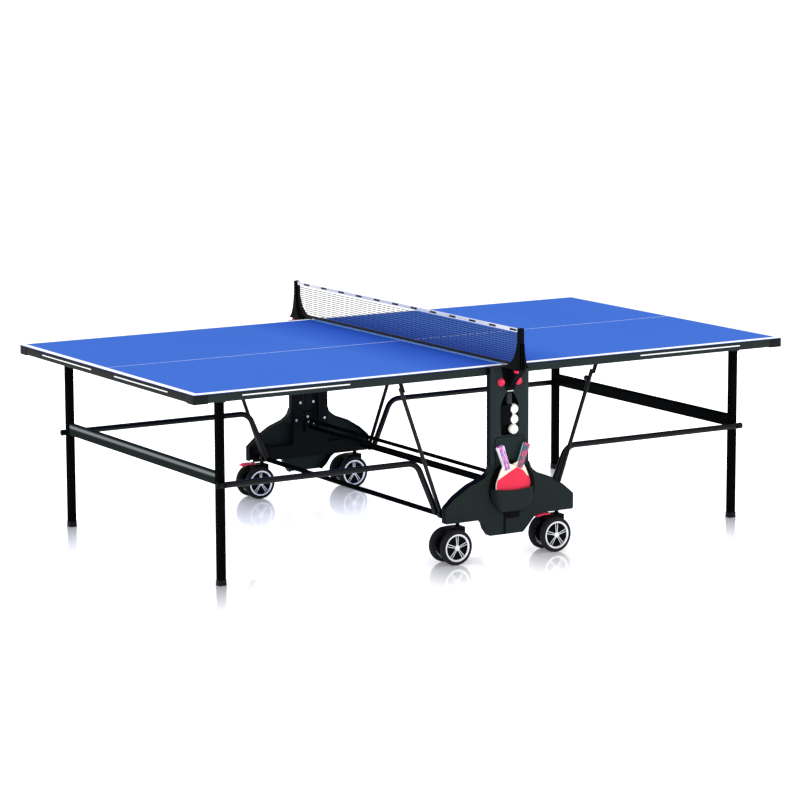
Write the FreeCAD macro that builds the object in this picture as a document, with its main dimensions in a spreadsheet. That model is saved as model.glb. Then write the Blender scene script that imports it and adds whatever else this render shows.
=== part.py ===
"""Folding table tennis table on a wheeled centre carriage.

X runs along the table, Y across it and Z up. The origin is on the floor, under the middle of the net.
Every size is in millimetres and comes from the Sizes sheet.
"""
import FreeCAD, Part
import Sketcher
import os
import re

os.makedirs("parts", exist_ok=True)

SIZES = {
    # Playing surface
    "half_length": 1370, "half_width": 762.5, "table_height": 760, "centre_gap": 5,
    "sheet_thickness": 4, "sheet_corner_round": 6,
    # Frame under each half
    "rail_depth": 34, "rail_width": 27, "rail_inset": 1, "rail_wall": 1.5, "centre_rail_depth": 28,
    "centre_rail_width": 25,
    "guard_length": 60, "guard_depth": 36, "guard_round": 14,
    "rib_width": 30, "rib_depth": 20, "rib_wall": 1.2,
    "first_rib_x": 200, "rib_spacing": 420,
    # Legs
    "leg_x": 1205, "leg_width": 30, "leg_wall": 1.5, "leg_round": 4,
    "leg_pin_radius": 5, "leg_top_above_pin": 12, "foot_height": 15, "foot_radius": 16,
    "brace_height": 54, "brace_thickness": 20, "brace_z": 409, "brace_round": 9.8, "brace_wall": 1.5,
    "ear_thickness": 3, "ear_half_length": 18, "ear_below_pin": 14, "ear_gap": 1,
    # Long link tubes from the carriage foot axle to the legs
    "link_radius": 12, "link_wall": 1.5, "link_z": 390, "link_gap": 2, "link_overhang": 20,
    "link_bend_x": 355, "link_bend_radius": 60, "link_cap_length": 8, "link_cap_radius": 13,
    # Foot axle in the carriage, shared by link tubes and struts
    "axle_x": 264, "axle_z": 182, "axle_radius": 10, "axle_wall": 2,
    # Struts that lift the halves
    "strut_radius": 8, "strut_top_x": 447, "strut_eye_radius": 15,
    "strut_bolt_radius": 4, "strut_plate_thickness": 6, "strut_plate_half_length": 8,
    "strut_knob_radius": 11, "strut_knob_length": 15,
    # Guide pins that slide down the carriage
    "guide_x": 32, "guide_radius": 6, "guide_low_z": 277, "guide_collar_radius": 12,
    "guide_clearance": 0.5, "slot_reserve": 4,
    # Fits
    "running_clearance": 0.08, "side_clearance": 1, "frame_clearance": 4,
    # Carriage side frames
    "frame_thickness": 6, "frame_half_width": 86, "frame_base_half_length": 285,
    "frame_base_low_z": 158, "frame_base_top_z": 215, "window_half_width": 20,
    "window_low_z": 300, "window_height": 150,
    "cross_tube_radius": 8, "cross_tube_low_z": 286, "cross_tube_high_z": 315, "cross_tube_wall": 1.5,
    # Column covers with the ball store
    "cover_half_width": 89, "cover_depth": 28, "cover_wall": 3, "cover_low_z": 350,
    "store_half_width": 41, "store_low_z": 486, "store_shoulder_z": 620, "store_peak_z": 655,
    "ball_radius": 20, "ball_x": 20.8, "first_ball_z": 506.2, "ball_pitch": 40.2, "ball_sink": 7,
    # Lower shrouds
    "shroud_depth": 34, "shroud_wall": 3, "shroud_half_length": 300, "shroud_shoulder_x": 250,
    "shroud_shoulder_z": 268, "shroud_end_z": 222, "shroud_neck_x": 132, "shroud_neck_z": 322,
    "shroud_top_x": 97, "shroud_low_z": 160, "skid_x": 96, "skid_right_x": 60, "skid_z": 92, "arch_x": 128,
    # Bat pockets and bats
    "pocket_half_width": 92, "pocket_depth": 40, "pocket_wall": 3, "pocket_top_z": 280, "pocket_low_z": 180,
    "pocket_heel_x": 38, "pocket_cheek_z": 232,
    "bat_blade_radius": 76, "bat_blade_thickness": 10, "bat_handle_length": 98, "bat_handle_width": 28,
    "bat_handle_thickness": 18, "bat_handle_root": 8, "bat_centre_z": 288, "bat_offset_x": 8, "bat_tilt": 20,
    # Release buttons
    "button_x": 40, "button_radius": 12, "button_length": 15, "button_proud": 10, "button_clearance": 0.5,
    # Net and posts
    "post_width": 16, "bracket_width": 40, "bracket_toe": 12, "bracket_rise": 5, "post_depth": 16,
    "net_thickness": 1.5, "tape_height": 15, "tape_thickness": 4, "lower_band_height": 12,
    # Casters
    "caster_x": 233, "caster_trail": 33, "wheel_radius": 70, "wheel_width": 26,
    "wheel_offset": 41, "wheel_axle_radius": 5, "stem_radius": 8, "hub_width": 50, "hub_top_z": 146,
    "hub_slope": 22, "hub_round": 4, "hub_half_length": 20,
    "caster_plate_half_length": 30, "caster_plate_low_z": 163, "caster_plate_height": 20,
    "wheel_round": 5, "rim_radius": 54.6, "rim_slope": 4, "wheel_web_half": 7.8,
    "pedal_length": 62, "pedal_width": 40, "pedal_thickness": 6, "pedal_z": 151, "pedal_start": 42,
    "pedal_round": 4, "pedal_barrel_radius": 4,
}

# Sizes that follow from others
TIED_SIZES = {
    "leg_y": "half_width - 112.5", "leg_hinge_z": "table_height - 44",
    "link_y": "leg_y + leg_width / 2 + link_gap + link_radius",
    "strut_y": "half_width - rail_inset - rail_width - 18.5",
    "strut_top_z": "table_height - 70", "strut_knob_z": "strut_top_z - 30",
    "guide_z": "table_height - 15", "frame_top_z": "table_height - 4", "cover_top_z": "table_height - 3",
    "button_z": "table_height - 63", "caster_y": "half_width + 23.5",
    "front_bat_y": "half_width + 69.5", "back_bat_y": "half_width + 55",
    "bracket_low_z": "table_height - 84", "bracket_top_z": "table_height + 30",
    "post_y": "half_width + 113.5", "net_half_length": "post_y - post_depth / 2",
    "net_top_z": "table_height + 152.5", "net_low_z": "table_height + 4", "post_top_z": "net_top_z + 4.5",
}

doc = FreeCAD.newDocument("table_tennis_table")
sheet = doc.addObject("Spreadsheet::Sheet", "Sizes")
TIED_CELLS = {size_name: "=" + formula for size_name, formula in TIED_SIZES.items()}
for row, (size_name, size_value) in enumerate((SIZES | TIED_CELLS).items(), start=1):
    sheet.set(f"A{row}", size_name)
    sheet.set(f"B{row}", str(size_value))
    sheet.setAlias(f"B{row}", size_name)
doc.recompute()

NODES = []
MATHS = ("sqrt", "atan", "sin", "cos")
V = FreeCAD.Vector
TURN = {
    "X": FreeCAD.Rotation(V(0, 1, 0), 90),
    "Y": FreeCAD.Rotation(V(1, 0, 0), -90),
    "Z": FreeCAD.Rotation(),
}
SIDES = (("left", -1), ("right", 1))
ROWS = (("near", -1), ("far", 1))


def named(expression):
    """Puts the sheet's name before every size that the expression uses."""
    def prefix(match):
        word = match.group(0)
        return word if word in MATHS else "Sizes." + word
    return re.sub(r"[a-z][a-z_]*", prefix, str(expression))


def place(thing, centre, turn=None):
    """Binds the place of a piece to three expressions."""
    if turn is not None:
        thing.Placement = FreeCAD.Placement(V(), turn)
    for axis, expression in zip("xyz", centre):
        thing.setExpression("Placement.Base." + axis, named(expression))


def node(label, thing):
    """Marks a finished piece as a node of the assembly."""
    thing.Label = label
    NODES.append(thing)
    return thing


def block(size, centre):
    """A box given by its three sizes and its middle."""
    box = doc.addObject("Part::Box", "block")
    for prop, expression in zip(("Length", "Width", "Height"), size):
        box.setExpression(prop, named(expression))
    place(box, [f"({mid}) - ({full}) / 2" for mid, full in zip(centre, size)])
    return box


def rod(radius, length, centre, along):
    """A cylinder given by its radius, its length, its middle and its axis."""
    cylinder = doc.addObject("Part::Cylinder", "rod")
    cylinder.setExpression("Radius", named(radius))
    cylinder.setExpression("Height", named(length))
    start = list(centre)
    index = "XYZ".index(along)
    start[index] = f"({centre[index]}) - ({length}) / 2"
    place(cylinder, start, TURN[along])
    return cylinder


def cut(base, *tools):
    """Takes each tool out of the base."""
    for tool in tools:
        result = doc.addObject("Part::Cut", "cut")
        result.Base = base
        result.Tool = tool
        base = result
    return base


def fuse(*things):
    """Joins touching pieces into one solid."""
    result = doc.addObject("Part::MultiFuse", "fuse")
    result.Shapes = list(things)
    return result


def group(*things):
    """Keeps separate solids together in one node."""
    result = doc.addObject("Part::Compound", "group")
    result.Links = list(things)
    return result


def box_tube(size, centre, wall, along):
    """A rectangular tube, open at both ends."""
    index = "XYZ".index(along)
    inside = [f"({full}) - 2 * ({wall})" for full in size]
    inside[index] = f"({size[index]}) + 2"
    return cut(block(size, centre), block(inside, centre))


def round_tube(radius, wall, length, centre, along):
    """A round tube, open at both ends."""
    outside = rod(radius, length, centre, along)
    return cut(outside, rod(f"{radius} - {wall}", f"{length} + 2", centre, along))


def origin_plane(body, role):
    """The body's own origin plane with the given role."""
    return [item for item in body.Origin.OriginFeatures if item.Role == role][0]


def outline_sketch(body, role, points):
    """A closed outline whose corners are bound to expressions."""
    sketch = body.newObject("Sketcher::SketchObject", "outline")
    sketch.AttachmentSupport = [(origin_plane(body, role), "")]
    sketch.MapMode = "FlatFace"
    values = [[sheet_value(text) for text in point] for point in points]
    count = len(points)
    for index in range(count):
        start = V(values[index][0], values[index][1], 0)
        stop = V(values[(index + 1) % count][0], values[(index + 1) % count][1], 0)
        sketch.addGeometry(Part.LineSegment(start, stop))
    for index in range(count):
        sketch.addConstraint(Sketcher.Constraint("Coincident", index, 2, (index + 1) % count, 1))
        for kind, text, value in zip(("DistanceX", "DistanceY"), points[index], values[index]):
            item = sketch.addConstraint(Sketcher.Constraint(kind, -1, 1, index, 1, value))
            sketch.setExpression(f"Constraints[{item}]", named(text))
    return sketch


def sheet_value(expression):
    """The number that an expression gives with the sheet's present sizes."""
    probe = doc.getObject("Probe") or doc.addObject("App::FeaturePython", "Probe")
    if "answer" not in probe.PropertiesList:
        probe.addProperty("App::PropertyFloat", "answer")
    return float(probe.evalExpression(named(expression)))


def padded(role, points, depth, centre, round_by=None):
    """An outline padded to both sides of its plane, with its long edges rounded."""
    body = doc.addObject("PartDesign::Body", "profile")
    sketch = outline_sketch(body, role, points)
    pad = body.newObject("PartDesign::Pad", "pad")
    pad.Profile = sketch
    pad.Midplane = True
    pad.setExpression("Length", named(depth))
    doc.recompute()
    if round_by is not None:
        normal = {"XY_Plane": V(0, 0, 1), "XZ_Plane": V(0, 1, 0), "YZ_Plane": V(1, 0, 0)}[role]
        long_edges = []
        for number, edge in enumerate(pad.Shape.Edges, start=1):
            direction = edge.Vertexes[-1].Point - edge.Vertexes[0].Point
            if direction.Length > 0 and abs(direction.normalize() * normal) > 0.999:
                long_edges.append(f"Edge{number}")
        fillet = body.newObject("PartDesign::Fillet", "rounding")
        fillet.Base = (pad, long_edges)
        fillet.setExpression("Radius", named(round_by))
        body.Tip = fillet
    place(body, centre)
    return body


def rectangle(length, height):
    """The four corners of a rectangle about the sketch's origin."""
    signs = ((-1, -1), (1, -1), (1, 1), (-1, 1))
    return [(f"{a} * ({length}) / 2", f"{b} * ({height}) / 2") for a, b in signs]


def bent_tube(side, centre):
    """A link tube: straight along X, then bent down to the foot axle."""
    body = doc.addObject("PartDesign::Body", "bent_tube")
    path = body.newObject("Sketcher::SketchObject", "path")
    path.AttachmentSupport = [(origin_plane(body, "XZ_Plane"), "")]
    path.MapMode = "FlatFace"
    run = f"{-side} * (leg_x + link_overhang - link_bend_x)"
    points = [("0", "0"), (run, "0"), (f"{-side} * (leg_x + link_overhang - axle_x)", "axle_z - link_z")]
    values = [V(sheet_value(a), sheet_value(b), 0) for a, b in points]
    for start, stop in zip(values, values[1:]):
        path.addGeometry(Part.LineSegment(start, stop))
    path.addConstraint(Sketcher.Constraint("Coincident", 0, 2, 1, 1))
    path.addConstraint(Sketcher.Constraint("Coincident", 0, 1, -1, 1))
    path.addConstraint(Sketcher.Constraint("Horizontal", 0))
    for geometry, point in ((0, points[1]), (1, points[2])):
        for kind, text in zip(("DistanceX", "DistanceY"), point):
            if text != "0":
                item = path.addConstraint(Sketcher.Constraint(kind, -1, 1, geometry, 2, sheet_value(text)))
                path.setExpression(f"Constraints[{item}]", named(text))
    bend = SIZES["link_bend_radius"]
    path.fillet(0, 1, values[1] + V(side, 0, 0), values[1] - V(side, 1, 0), bend, True, True)
    item = path.addConstraint(Sketcher.Constraint("Radius", 2, bend))
    path.setExpression(f"Constraints[{item}]", named("link_bend_radius"))
    section = body.newObject("Sketcher::SketchObject", "section")
    section.AttachmentSupport = [(origin_plane(body, "YZ_Plane"), "")]
    section.MapMode = "FlatFace"
    for radius in ("link_radius", "link_radius - link_wall"):
        circle = section.addGeometry(Part.Circle(V(), V(0, 0, 1), sheet_value(radius)))
        section.addConstraint(Sketcher.Constraint("Coincident", circle, 3, -1, 1))
        item = section.addConstraint(Sketcher.Constraint("Radius", circle, sheet_value(radius)))
        section.setExpression(f"Constraints[{item}]", named(radius))
    pipe = body.newObject("PartDesign::AdditivePipe", "pipe")
    pipe.Profile = section
    pipe.Spine = (path, [])
    place(body, centre)
    return body


def playing_half(name, side):
    """One half of the table: sheet, rails, guards, ribs and the brackets under it."""
    top = "table_height - sheet_thickness"
    length = "half_length - centre_gap"
    middle_x = f"{side} * (half_length + centre_gap) / 2"
    node(f"playing_sheet_{name}", padded(
        "XY_Plane", rectangle(length, "2 * half_width"), "sheet_thickness",
        (middle_x, "0", "table_height - sheet_thickness / 2"), "sheet_corner_round"))

    rails = []
    rail_length = "half_length - centre_gap - rail_inset - guard_length"
    for _, row in ROWS:
        rail = box_tube(
            (rail_length, "rail_width", "rail_depth"),
            (f"{side} * (centre_gap + rail_inset + ({rail_length}) / 2)",
             f"{row} * (half_width - rail_inset - rail_width / 2)", f"{top} - rail_depth / 2"),
            "rail_wall", "X")
        pin_hole = rod("guide_radius + running_clearance", "2 * rail_width",
                       (f"{side} * guide_x", f"{row} * (half_width - rail_width / 2)", "guide_z"), "Y")
        rails.append(cut(rail, pin_hole))
    node(f"side_rails_{name}", group(*rails))

    node(f"outer_rail_{name}", box_tube(
        ("rail_width", "2 * (half_width - guard_length)", "rail_depth"),
        (f"{side} * (half_length - rail_inset - rail_width / 2)", "0", f"{top} - rail_depth / 2"),
        "rail_wall", "Y"))
    node(f"centre_rail_{name}", box_tube(
        ("centre_rail_width", "2 * (half_width - rail_inset - rail_width)", "centre_rail_depth"),
        (f"{side} * (centre_gap + rail_inset + centre_rail_width / 2)", "0",
         f"{top} - centre_rail_depth / 2"),
        "rail_wall", "Y"))

    guards = [padded(
        "XY_Plane", rectangle("guard_length", "guard_length"), "guard_depth",
        (f"{side} * (half_length - guard_length / 2)", f"{row} * (half_width - guard_length / 2)",
         f"{top} - guard_depth / 2"), "guard_round") for _, row in ROWS]
    node(f"corner_guards_{name}", group(*guards))

    ribs = [box_tube(
        ("rib_width", "2 * (half_width - rail_inset - rail_width)", "rib_depth"),
        (f"{side} * (first_rib_x + {number} * rib_spacing)", "0", f"{top} - rib_depth / 2"),
        "rib_wall", "Y") for number in range(3)]
    node(f"under_ribs_{name}", group(*ribs))

    brackets = []
    for _, row in ROWS:
        ears = [block(
            ("2 * ear_half_length", "ear_thickness", f"{top} - leg_hinge_z + ear_below_pin"),
            (f"{side} * leg_x", f"{row} * leg_y + {ear} * (leg_width / 2 + ear_gap + ear_thickness / 2)",
             f"({top} + leg_hinge_z - ear_below_pin) / 2")) for ear in (-1, 1)]
        pin = rod("leg_pin_radius", "leg_width + 2 * ear_gap + 2 * ear_thickness",
                  (f"{side} * leg_x", f"{row} * leg_y", "leg_hinge_z"), "Y")
        brackets.append(fuse(*ears, pin))
        plate_low = "strut_top_z - strut_plate_half_length"
        plate_y = "(half_width - rail_inset - rail_width - strut_plate_thickness / 2 - side_clearance)"
        plate_x = f"{side} * (axle_x + (strut_top_x - axle_x) / (strut_top_z - axle_z)"
        plate_outline = [
            (f"{plate_x} * ({level} - axle_z) + {end} * strut_plate_half_length)", level)
            for end, level in ((-1, plate_low), (1, plate_low), (1, top), (-1, top))]
        brackets.append(padded("XZ_Plane", plate_outline, "strut_plate_thickness",
                               ("0", f"{row} * {plate_y}", "0")))
    node(f"hinge_brackets_{name}", group(*brackets))


def leg_frame(name, side):
    """Two legs, the oval brace between them and their feet."""
    leg_top = "leg_hinge_z + leg_top_above_pin"
    legs = []
    feet = []
    for _, row in ROWS:
        centre = (f"{side} * leg_x", f"{row} * leg_y", f"({leg_top} + foot_height) / 2")
        outside = padded("XY_Plane", rectangle("leg_width", "leg_width"), f"{leg_top} - foot_height",
                         centre, "leg_round")
        inner = "leg_width - 2 * leg_wall"
        inside = block((inner, inner, f"{leg_top} - foot_height + 2"), centre)
        bore = rod("leg_pin_radius + running_clearance", "2 * leg_width",
                   (f"{side} * leg_x", f"{row} * leg_y", "leg_hinge_z"), "Y")
        legs.append(cut(outside, inside, bore))
        feet.append(rod("foot_radius", "foot_height",
                        (f"{side} * leg_x", f"{row} * leg_y", "foot_height / 2"), "Z"))
    node(f"legs_{name}", group(*legs))
    node(f"leg_feet_{name}", group(*feet))
    brace_centre = (f"{side} * leg_x", "0", "brace_z")
    brace = padded("XZ_Plane", rectangle("brace_thickness", "brace_height"), "2 * leg_y - leg_width",
                   brace_centre, "brace_round")
    bore = padded("XZ_Plane", rectangle("brace_thickness - 2 * brace_wall", "brace_height - 2 * brace_wall"),
                  "2 * leg_y", brace_centre, "brace_round - brace_wall")
    node(f"leg_brace_{name}", cut(brace, bore))


def link_frame(name, side):
    """The two long link tubes, the foot axle that joins them and their end caps."""
    side_face = "half_width + frame_clearance"
    tubes = []
    caps = []
    for _, row in ROWS:
        tube = bent_tube(side, (f"{side} * (leg_x + link_overhang)", f"{row} * link_y", "link_z"))
        saddle = rod("axle_radius", "4 * link_radius", (f"{side} * axle_x", f"{row} * link_y", "axle_z"), "Y")
        tubes.append(cut(tube, saddle))
        cap_x = f"{side} * (leg_x + link_overhang + link_cap_length / 2)"
        caps.append(rod("link_cap_radius", "link_cap_length", (cap_x, f"{row} * link_y", "link_z"), "X"))
    node(f"link_tubes_{name}", group(*tubes))
    node(f"link_caps_{name}", group(*caps))
    node(f"foot_axle_{name}", round_tube(
        "axle_radius", "axle_wall", f"2 * ({side_face} + frame_thickness)",
        (f"{side} * axle_x", "0", "axle_z"), "Y"))


def struts(name, side):
    """Two thin struts that turn on the foot axle, with the pull knob on the right near one."""
    rise = "(strut_top_z - axle_z)"
    reach = "(strut_top_x - axle_x)"
    pieces = []
    for row_name, row in ROWS:
        stick = doc.addObject("Part::Cylinder", "stick")
        stick.setExpression("Radius", named("strut_radius"))
        stick.setExpression("Height", named(f"sqrt({rise} * {rise} + {reach} * {reach}) + strut_radius"))
        place(stick, (f"{side} * axle_x", f"{row} * strut_y", "axle_z"), FreeCAD.Rotation(V(0, side, 0), 20))
        stick.setExpression("Placement.Rotation.Angle", named(f"atan({reach} / {rise})"))
        axle = (f"{side} * axle_x", f"{row} * strut_y", "axle_z")
        eye = rod("strut_eye_radius", "2 * (strut_radius + side_clearance)", axle, "Y")
        bolt_end = "half_width - rail_inset - rail_width - strut_plate_thickness - 2 * side_clearance"
        bolt_length = f"({bolt_end} - strut_y)"
        bolt = rod("strut_bolt_radius", bolt_length,
                   (f"{side} * strut_top_x", f"{row} * (strut_y + {bolt_length} / 2)", "strut_top_z"), "Y")
        things = [stick, eye, bolt]
        if (name, row_name) == ("right", "near"):
            knob_x = f"axle_x + {reach} * (strut_knob_z - axle_z) / {rise}"
            knob_y = f"{row} * (strut_y - (strut_knob_length + strut_radius) / 2)"
            things.append(rod("strut_knob_radius", "strut_knob_length + strut_radius",
                              (f"{side} * ({knob_x})", knob_y, "strut_knob_z"), "Y"))
        bore = rod("axle_radius + running_clearance", "4 * strut_radius", axle, "Y")
        pieces.append(cut(fuse(*things), bore))
    node(f"struts_{name}", group(*pieces))


def guide_pins(name, side):
    """The two pins that carry the half's inner end down the slots of the side frames."""
    inner = "half_width - rail_inset - rail_width + side_clearance"
    outer = "half_width + frame_clearance + frame_thickness - side_clearance"
    pins = []
    for _, row in ROWS:
        pin = rod("guide_radius", f"{outer} - ({inner})",
                  (f"{side} * guide_x", f"{row} * ({outer} + {inner}) / 2", "guide_z"), "Y")
        collar = rod("guide_collar_radius", "frame_clearance - side_clearance",
                     (f"{side} * guide_x", f"{row} * (half_width + frame_clearance / 2)", "guide_z"), "Y")
        pins.append(fuse(pin, collar))
    node(f"guide_pins_{name}", group(*pins))


def side_frame(name, row):
    """An upside-down T of steel plate with two slots, a window and the bearing holes for the axles."""
    wide, base = "frame_half_width", "frame_base_half_length"
    low, step, top = "frame_base_low_z", "frame_base_top_z", "frame_top_z"
    outline = [(f"-{base}", low), (base, low), (base, step), (wide, step), (wide, top), (f"-{wide}", top),
               (f"-{wide}", step), (f"-{base}", step)]
    middle_y = f"{row} * (half_width + frame_clearance + frame_thickness / 2)"
    plate = padded("XZ_Plane", outline, "frame_thickness", ("0", middle_y, "0"))
    slot_low = "guide_low_z - guide_radius - slot_reserve"
    slot_top = "guide_z + guide_radius + guide_clearance"
    through = "4 * frame_thickness"
    tools = []
    for _, side in SIDES:
        tools.append(block(("2 * (guide_radius + guide_clearance)", through, f"{slot_top} - ({slot_low})"),
                           (f"{side} * guide_x", middle_y, f"({slot_top} + {slot_low}) / 2")))
        axle = (f"{side} * axle_x", middle_y, "axle_z")
        tools.append(rod("axle_radius + running_clearance", through, axle, "Y"))
    tools.append(block(("2 * window_half_width", through, "window_height"),
                       ("0", middle_y, "window_low_z + window_height / 2")))
    node(f"{name}_side_frame", cut(plate, *tools))


def column_cover(name, row):
    """The upper plastic cover with the ball store's opening and the button holes."""
    inner_face = "half_width + frame_clearance + frame_thickness"
    middle_y = f"{row} * ({inner_face} + cover_depth / 2)"
    shell = block(("2 * cover_half_width", "cover_depth", "cover_top_z - cover_low_z"),
                  ("0", middle_y, "(cover_top_z + cover_low_z) / 2"))
    hollow = block(("2 * (cover_half_width - cover_wall)", "cover_depth",
                    "cover_top_z - cover_low_z - 2 * cover_wall"),
                   ("0", f"{row} * ({inner_face} + cover_depth / 2 - cover_wall)",
                    "(cover_top_z + cover_low_z) / 2"))
    store = [("-store_half_width", "store_low_z"), ("store_half_width", "store_low_z"),
             ("store_half_width", "store_shoulder_z"), ("store_half_width / 3", "store_peak_z"),
             ("-store_half_width / 3", "store_peak_z"), ("-store_half_width", "store_shoulder_z")]
    face_y = f"{row} * ({inner_face} + cover_depth)"
    opening = padded("XZ_Plane", store, "4 * cover_wall", ("0", face_y, "0"))
    holes = [rod("button_radius + button_clearance", "4 * cover_wall",
                 (f"{side} * button_x", face_y, "button_z"), "Y") for _, side in SIDES]
    node(f"{name}_column_cover", cut(shell, hollow, opening, *holes))


def shroud_outline(inset, drop):
    """The lower shroud's outline, drawn in by a wall and with its open bottom lowered."""
    right = [("arch_x", f"shroud_low_z - {drop}"),
             (f"shroud_half_length - {inset}", f"shroud_low_z - {drop}"),
             (f"shroud_half_length - {inset}", "shroud_end_z"),
             (f"shroud_shoulder_x - {inset}", f"shroud_shoulder_z - {inset}"),
             (f"shroud_neck_x - {inset}", f"shroud_neck_z - {inset}"),
             (f"shroud_top_x - {inset}", f"cover_low_z - {inset}")]
    left = [(f"-({x})", z) for x, z in reversed(right)]
    skid = [("-skid_x", f"skid_z - {drop}"), ("skid_right_x", f"skid_z - {drop}")]
    return right + left + skid


def shroud(name, row):
    """The lower plastic cover over the caster mounts, open inwards and downwards."""
    inner_face = "half_width + frame_clearance + frame_thickness"
    middle = f"{row} * ({inner_face} + shroud_depth / 2)"
    skin = padded("XZ_Plane", shroud_outline("0", "0"), "shroud_depth", ("0", middle, "0"))
    hollow = padded("XZ_Plane", shroud_outline("shroud_wall", "20"), "shroud_depth",
                    ("0", f"{row} * ({inner_face} + shroud_depth / 2 - shroud_wall)", "0"))
    node(f"{name}_shroud", cut(skin, hollow))


def bat_pockets():
    """The open-topped pockets on both shrouds."""
    face = "half_width + frame_clearance + frame_thickness + shroud_depth"
    pieces = []
    for _, row in ROWS:
        def outline(inset, rise):
            right = [(f"pocket_heel_x - {inset} / 2", f"pocket_low_z + {inset}"),
                     (f"pocket_half_width - {inset} - 6", "pocket_cheek_z"),
                     (f"pocket_half_width - {inset}", f"pocket_top_z + {rise}")]
            return right + [(f"-({x})", z) for x, z in reversed(right)]
        skin = padded("XZ_Plane", outline("0", "0"), "pocket_depth",
                      ("0", f"{row} * ({face} + pocket_depth / 2)", "0"))
        hollow = padded("XZ_Plane", outline("pocket_wall", "10"), "pocket_depth",
                        ("0", f"{row} * ({face} + pocket_depth / 2 - pocket_wall)", "0"))
        pieces.append(cut(skin, hollow))
    node("bat_pockets", group(*pieces))


def bat(label, y_name, lean):
    """A bat: round blade and a straight handle, leaning to one side in the near pocket."""
    centre = (f"{lean} * bat_offset_x", f"-{y_name}", "bat_centre_z")
    blade = rod("bat_blade_radius", "bat_blade_thickness", centre, "Y")
    handle = doc.addObject("Part::Box", "handle")
    handle.setExpression("Length", named("bat_handle_width"))
    handle.setExpression("Width", named("bat_handle_thickness"))
    handle.setExpression("Height", named("bat_handle_length + bat_handle_root"))
    out = "(bat_blade_radius - bat_handle_root)"
    half = "bat_handle_width / 2"
    place(handle, (f"{centre[0]} + {lean} * {out} * sin(bat_tilt) - {half} * cos(bat_tilt)",
                   f"{centre[1]} - bat_handle_thickness / 2",
                   f"{centre[2]} + {out} * cos(bat_tilt) + {lean} * {half} * sin(bat_tilt)"),
          FreeCAD.Rotation(V(0, lean, 0), SIZES["bat_tilt"]))
    handle.setExpression("Placement.Rotation.Angle", named("bat_tilt"))
    node(label, fuse(blade, handle))


def carriage_insides():
    """Caster plates and the two tubes that tie the side frames together."""
    inner_face = "half_width + frame_clearance + frame_thickness"
    depth = "shroud_depth - shroud_wall - side_clearance"
    plates = []
    for _, row in ROWS:
        for _, side in SIDES:
            plate = block(("2 * caster_plate_half_length", depth, "caster_plate_height"),
                          (f"{side} * caster_x", f"{row} * ({inner_face} + ({depth}) / 2)",
                           "caster_plate_low_z + caster_plate_height / 2"))
            bore = rod("stem_radius + running_clearance", "caster_plate_height + 2",
                       (f"{side} * caster_x", f"{row} * caster_y",
                        "caster_plate_low_z + caster_plate_height / 2"), "Z")
            plates.append(cut(plate, bore))
    node("caster_plates", group(*plates))
    tubes = [round_tube("cross_tube_radius", "cross_tube_wall", "2 * (half_width + frame_clearance)",
                        ("0", "0", height), "Y") for height in ("cross_tube_low_z", "cross_tube_high_z")]
    node("cross_tubes", group(*tubes))


def net():
    """Posts with their brackets, the net and the bands along its edges."""
    face = "half_width + frame_clearance + frame_thickness + cover_depth"
    for name, row in ROWS:
        outline = [(f"{row} * ({face})", "bracket_low_z"),
                   (f"{row} * ({face} + bracket_toe)", "bracket_low_z"),
                   (f"{row} * (post_y + post_depth / 2)", "table_height + bracket_rise"),
                   (f"{row} * (post_y + post_depth / 2)", "bracket_top_z"),
                   (f"{row} * (post_y - post_depth / 2)", "bracket_top_z"),
                   (f"{row} * ({face})", "cover_top_z")]
        arm = padded("YZ_Plane", outline, "bracket_width", ("0", "0", "0"))
        post = block(("post_width", "post_depth", "post_top_z - bracket_top_z"),
                     ("0", f"{row} * post_y", "(post_top_z + bracket_top_z) / 2"))
        slot = block(("tape_thickness", "4 * post_depth", "2 * (bracket_top_z - net_low_z)"),
                     ("0", f"{row} * (net_half_length - 2 * post_depth)", "bracket_top_z"))
        node(f"{name}_net_post", cut(fuse(arm, post), slot))
    node("net_mesh", block(("net_thickness", "2 * net_half_length",
                            "net_top_z - net_low_z - tape_height - lower_band_height"),
                           ("0", "0", "(net_top_z - tape_height + net_low_z + lower_band_height) / 2")))
    tape = block(("tape_thickness", "2 * net_half_length", "tape_height"),
                 ("0", "0", "net_top_z - tape_height / 2"))
    lower_band = block(("tape_thickness", "2 * net_half_length", "lower_band_height"),
                       ("0", "0", "net_low_z + lower_band_height / 2"))
    node("net_bands", group(tape, lower_band))


def small_pieces():
    """Balls in the near store and the release buttons of both columns."""
    face = "half_width + frame_clearance + frame_thickness + cover_depth"
    balls = []
    for number in range(3):
        ball = doc.addObject("Part::Sphere", "ball")
        ball.setExpression("Radius", named("ball_radius"))
        place(ball, ("ball_x", f"-({face} - ball_sink)", f"first_ball_z + {number} * ball_pitch"))
        balls.append(ball)
    node("balls", group(*balls))
    for row_name, row in ROWS:
        button_y = f"{row} * ({face} + button_proud - button_length / 2)"
        for side_name, side in SIDES:
            node(f"{row_name}_button_{side_name}", rod(
                "button_radius", "button_length", (f"{side} * button_x", button_y, "button_z"), "Y"))


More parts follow.
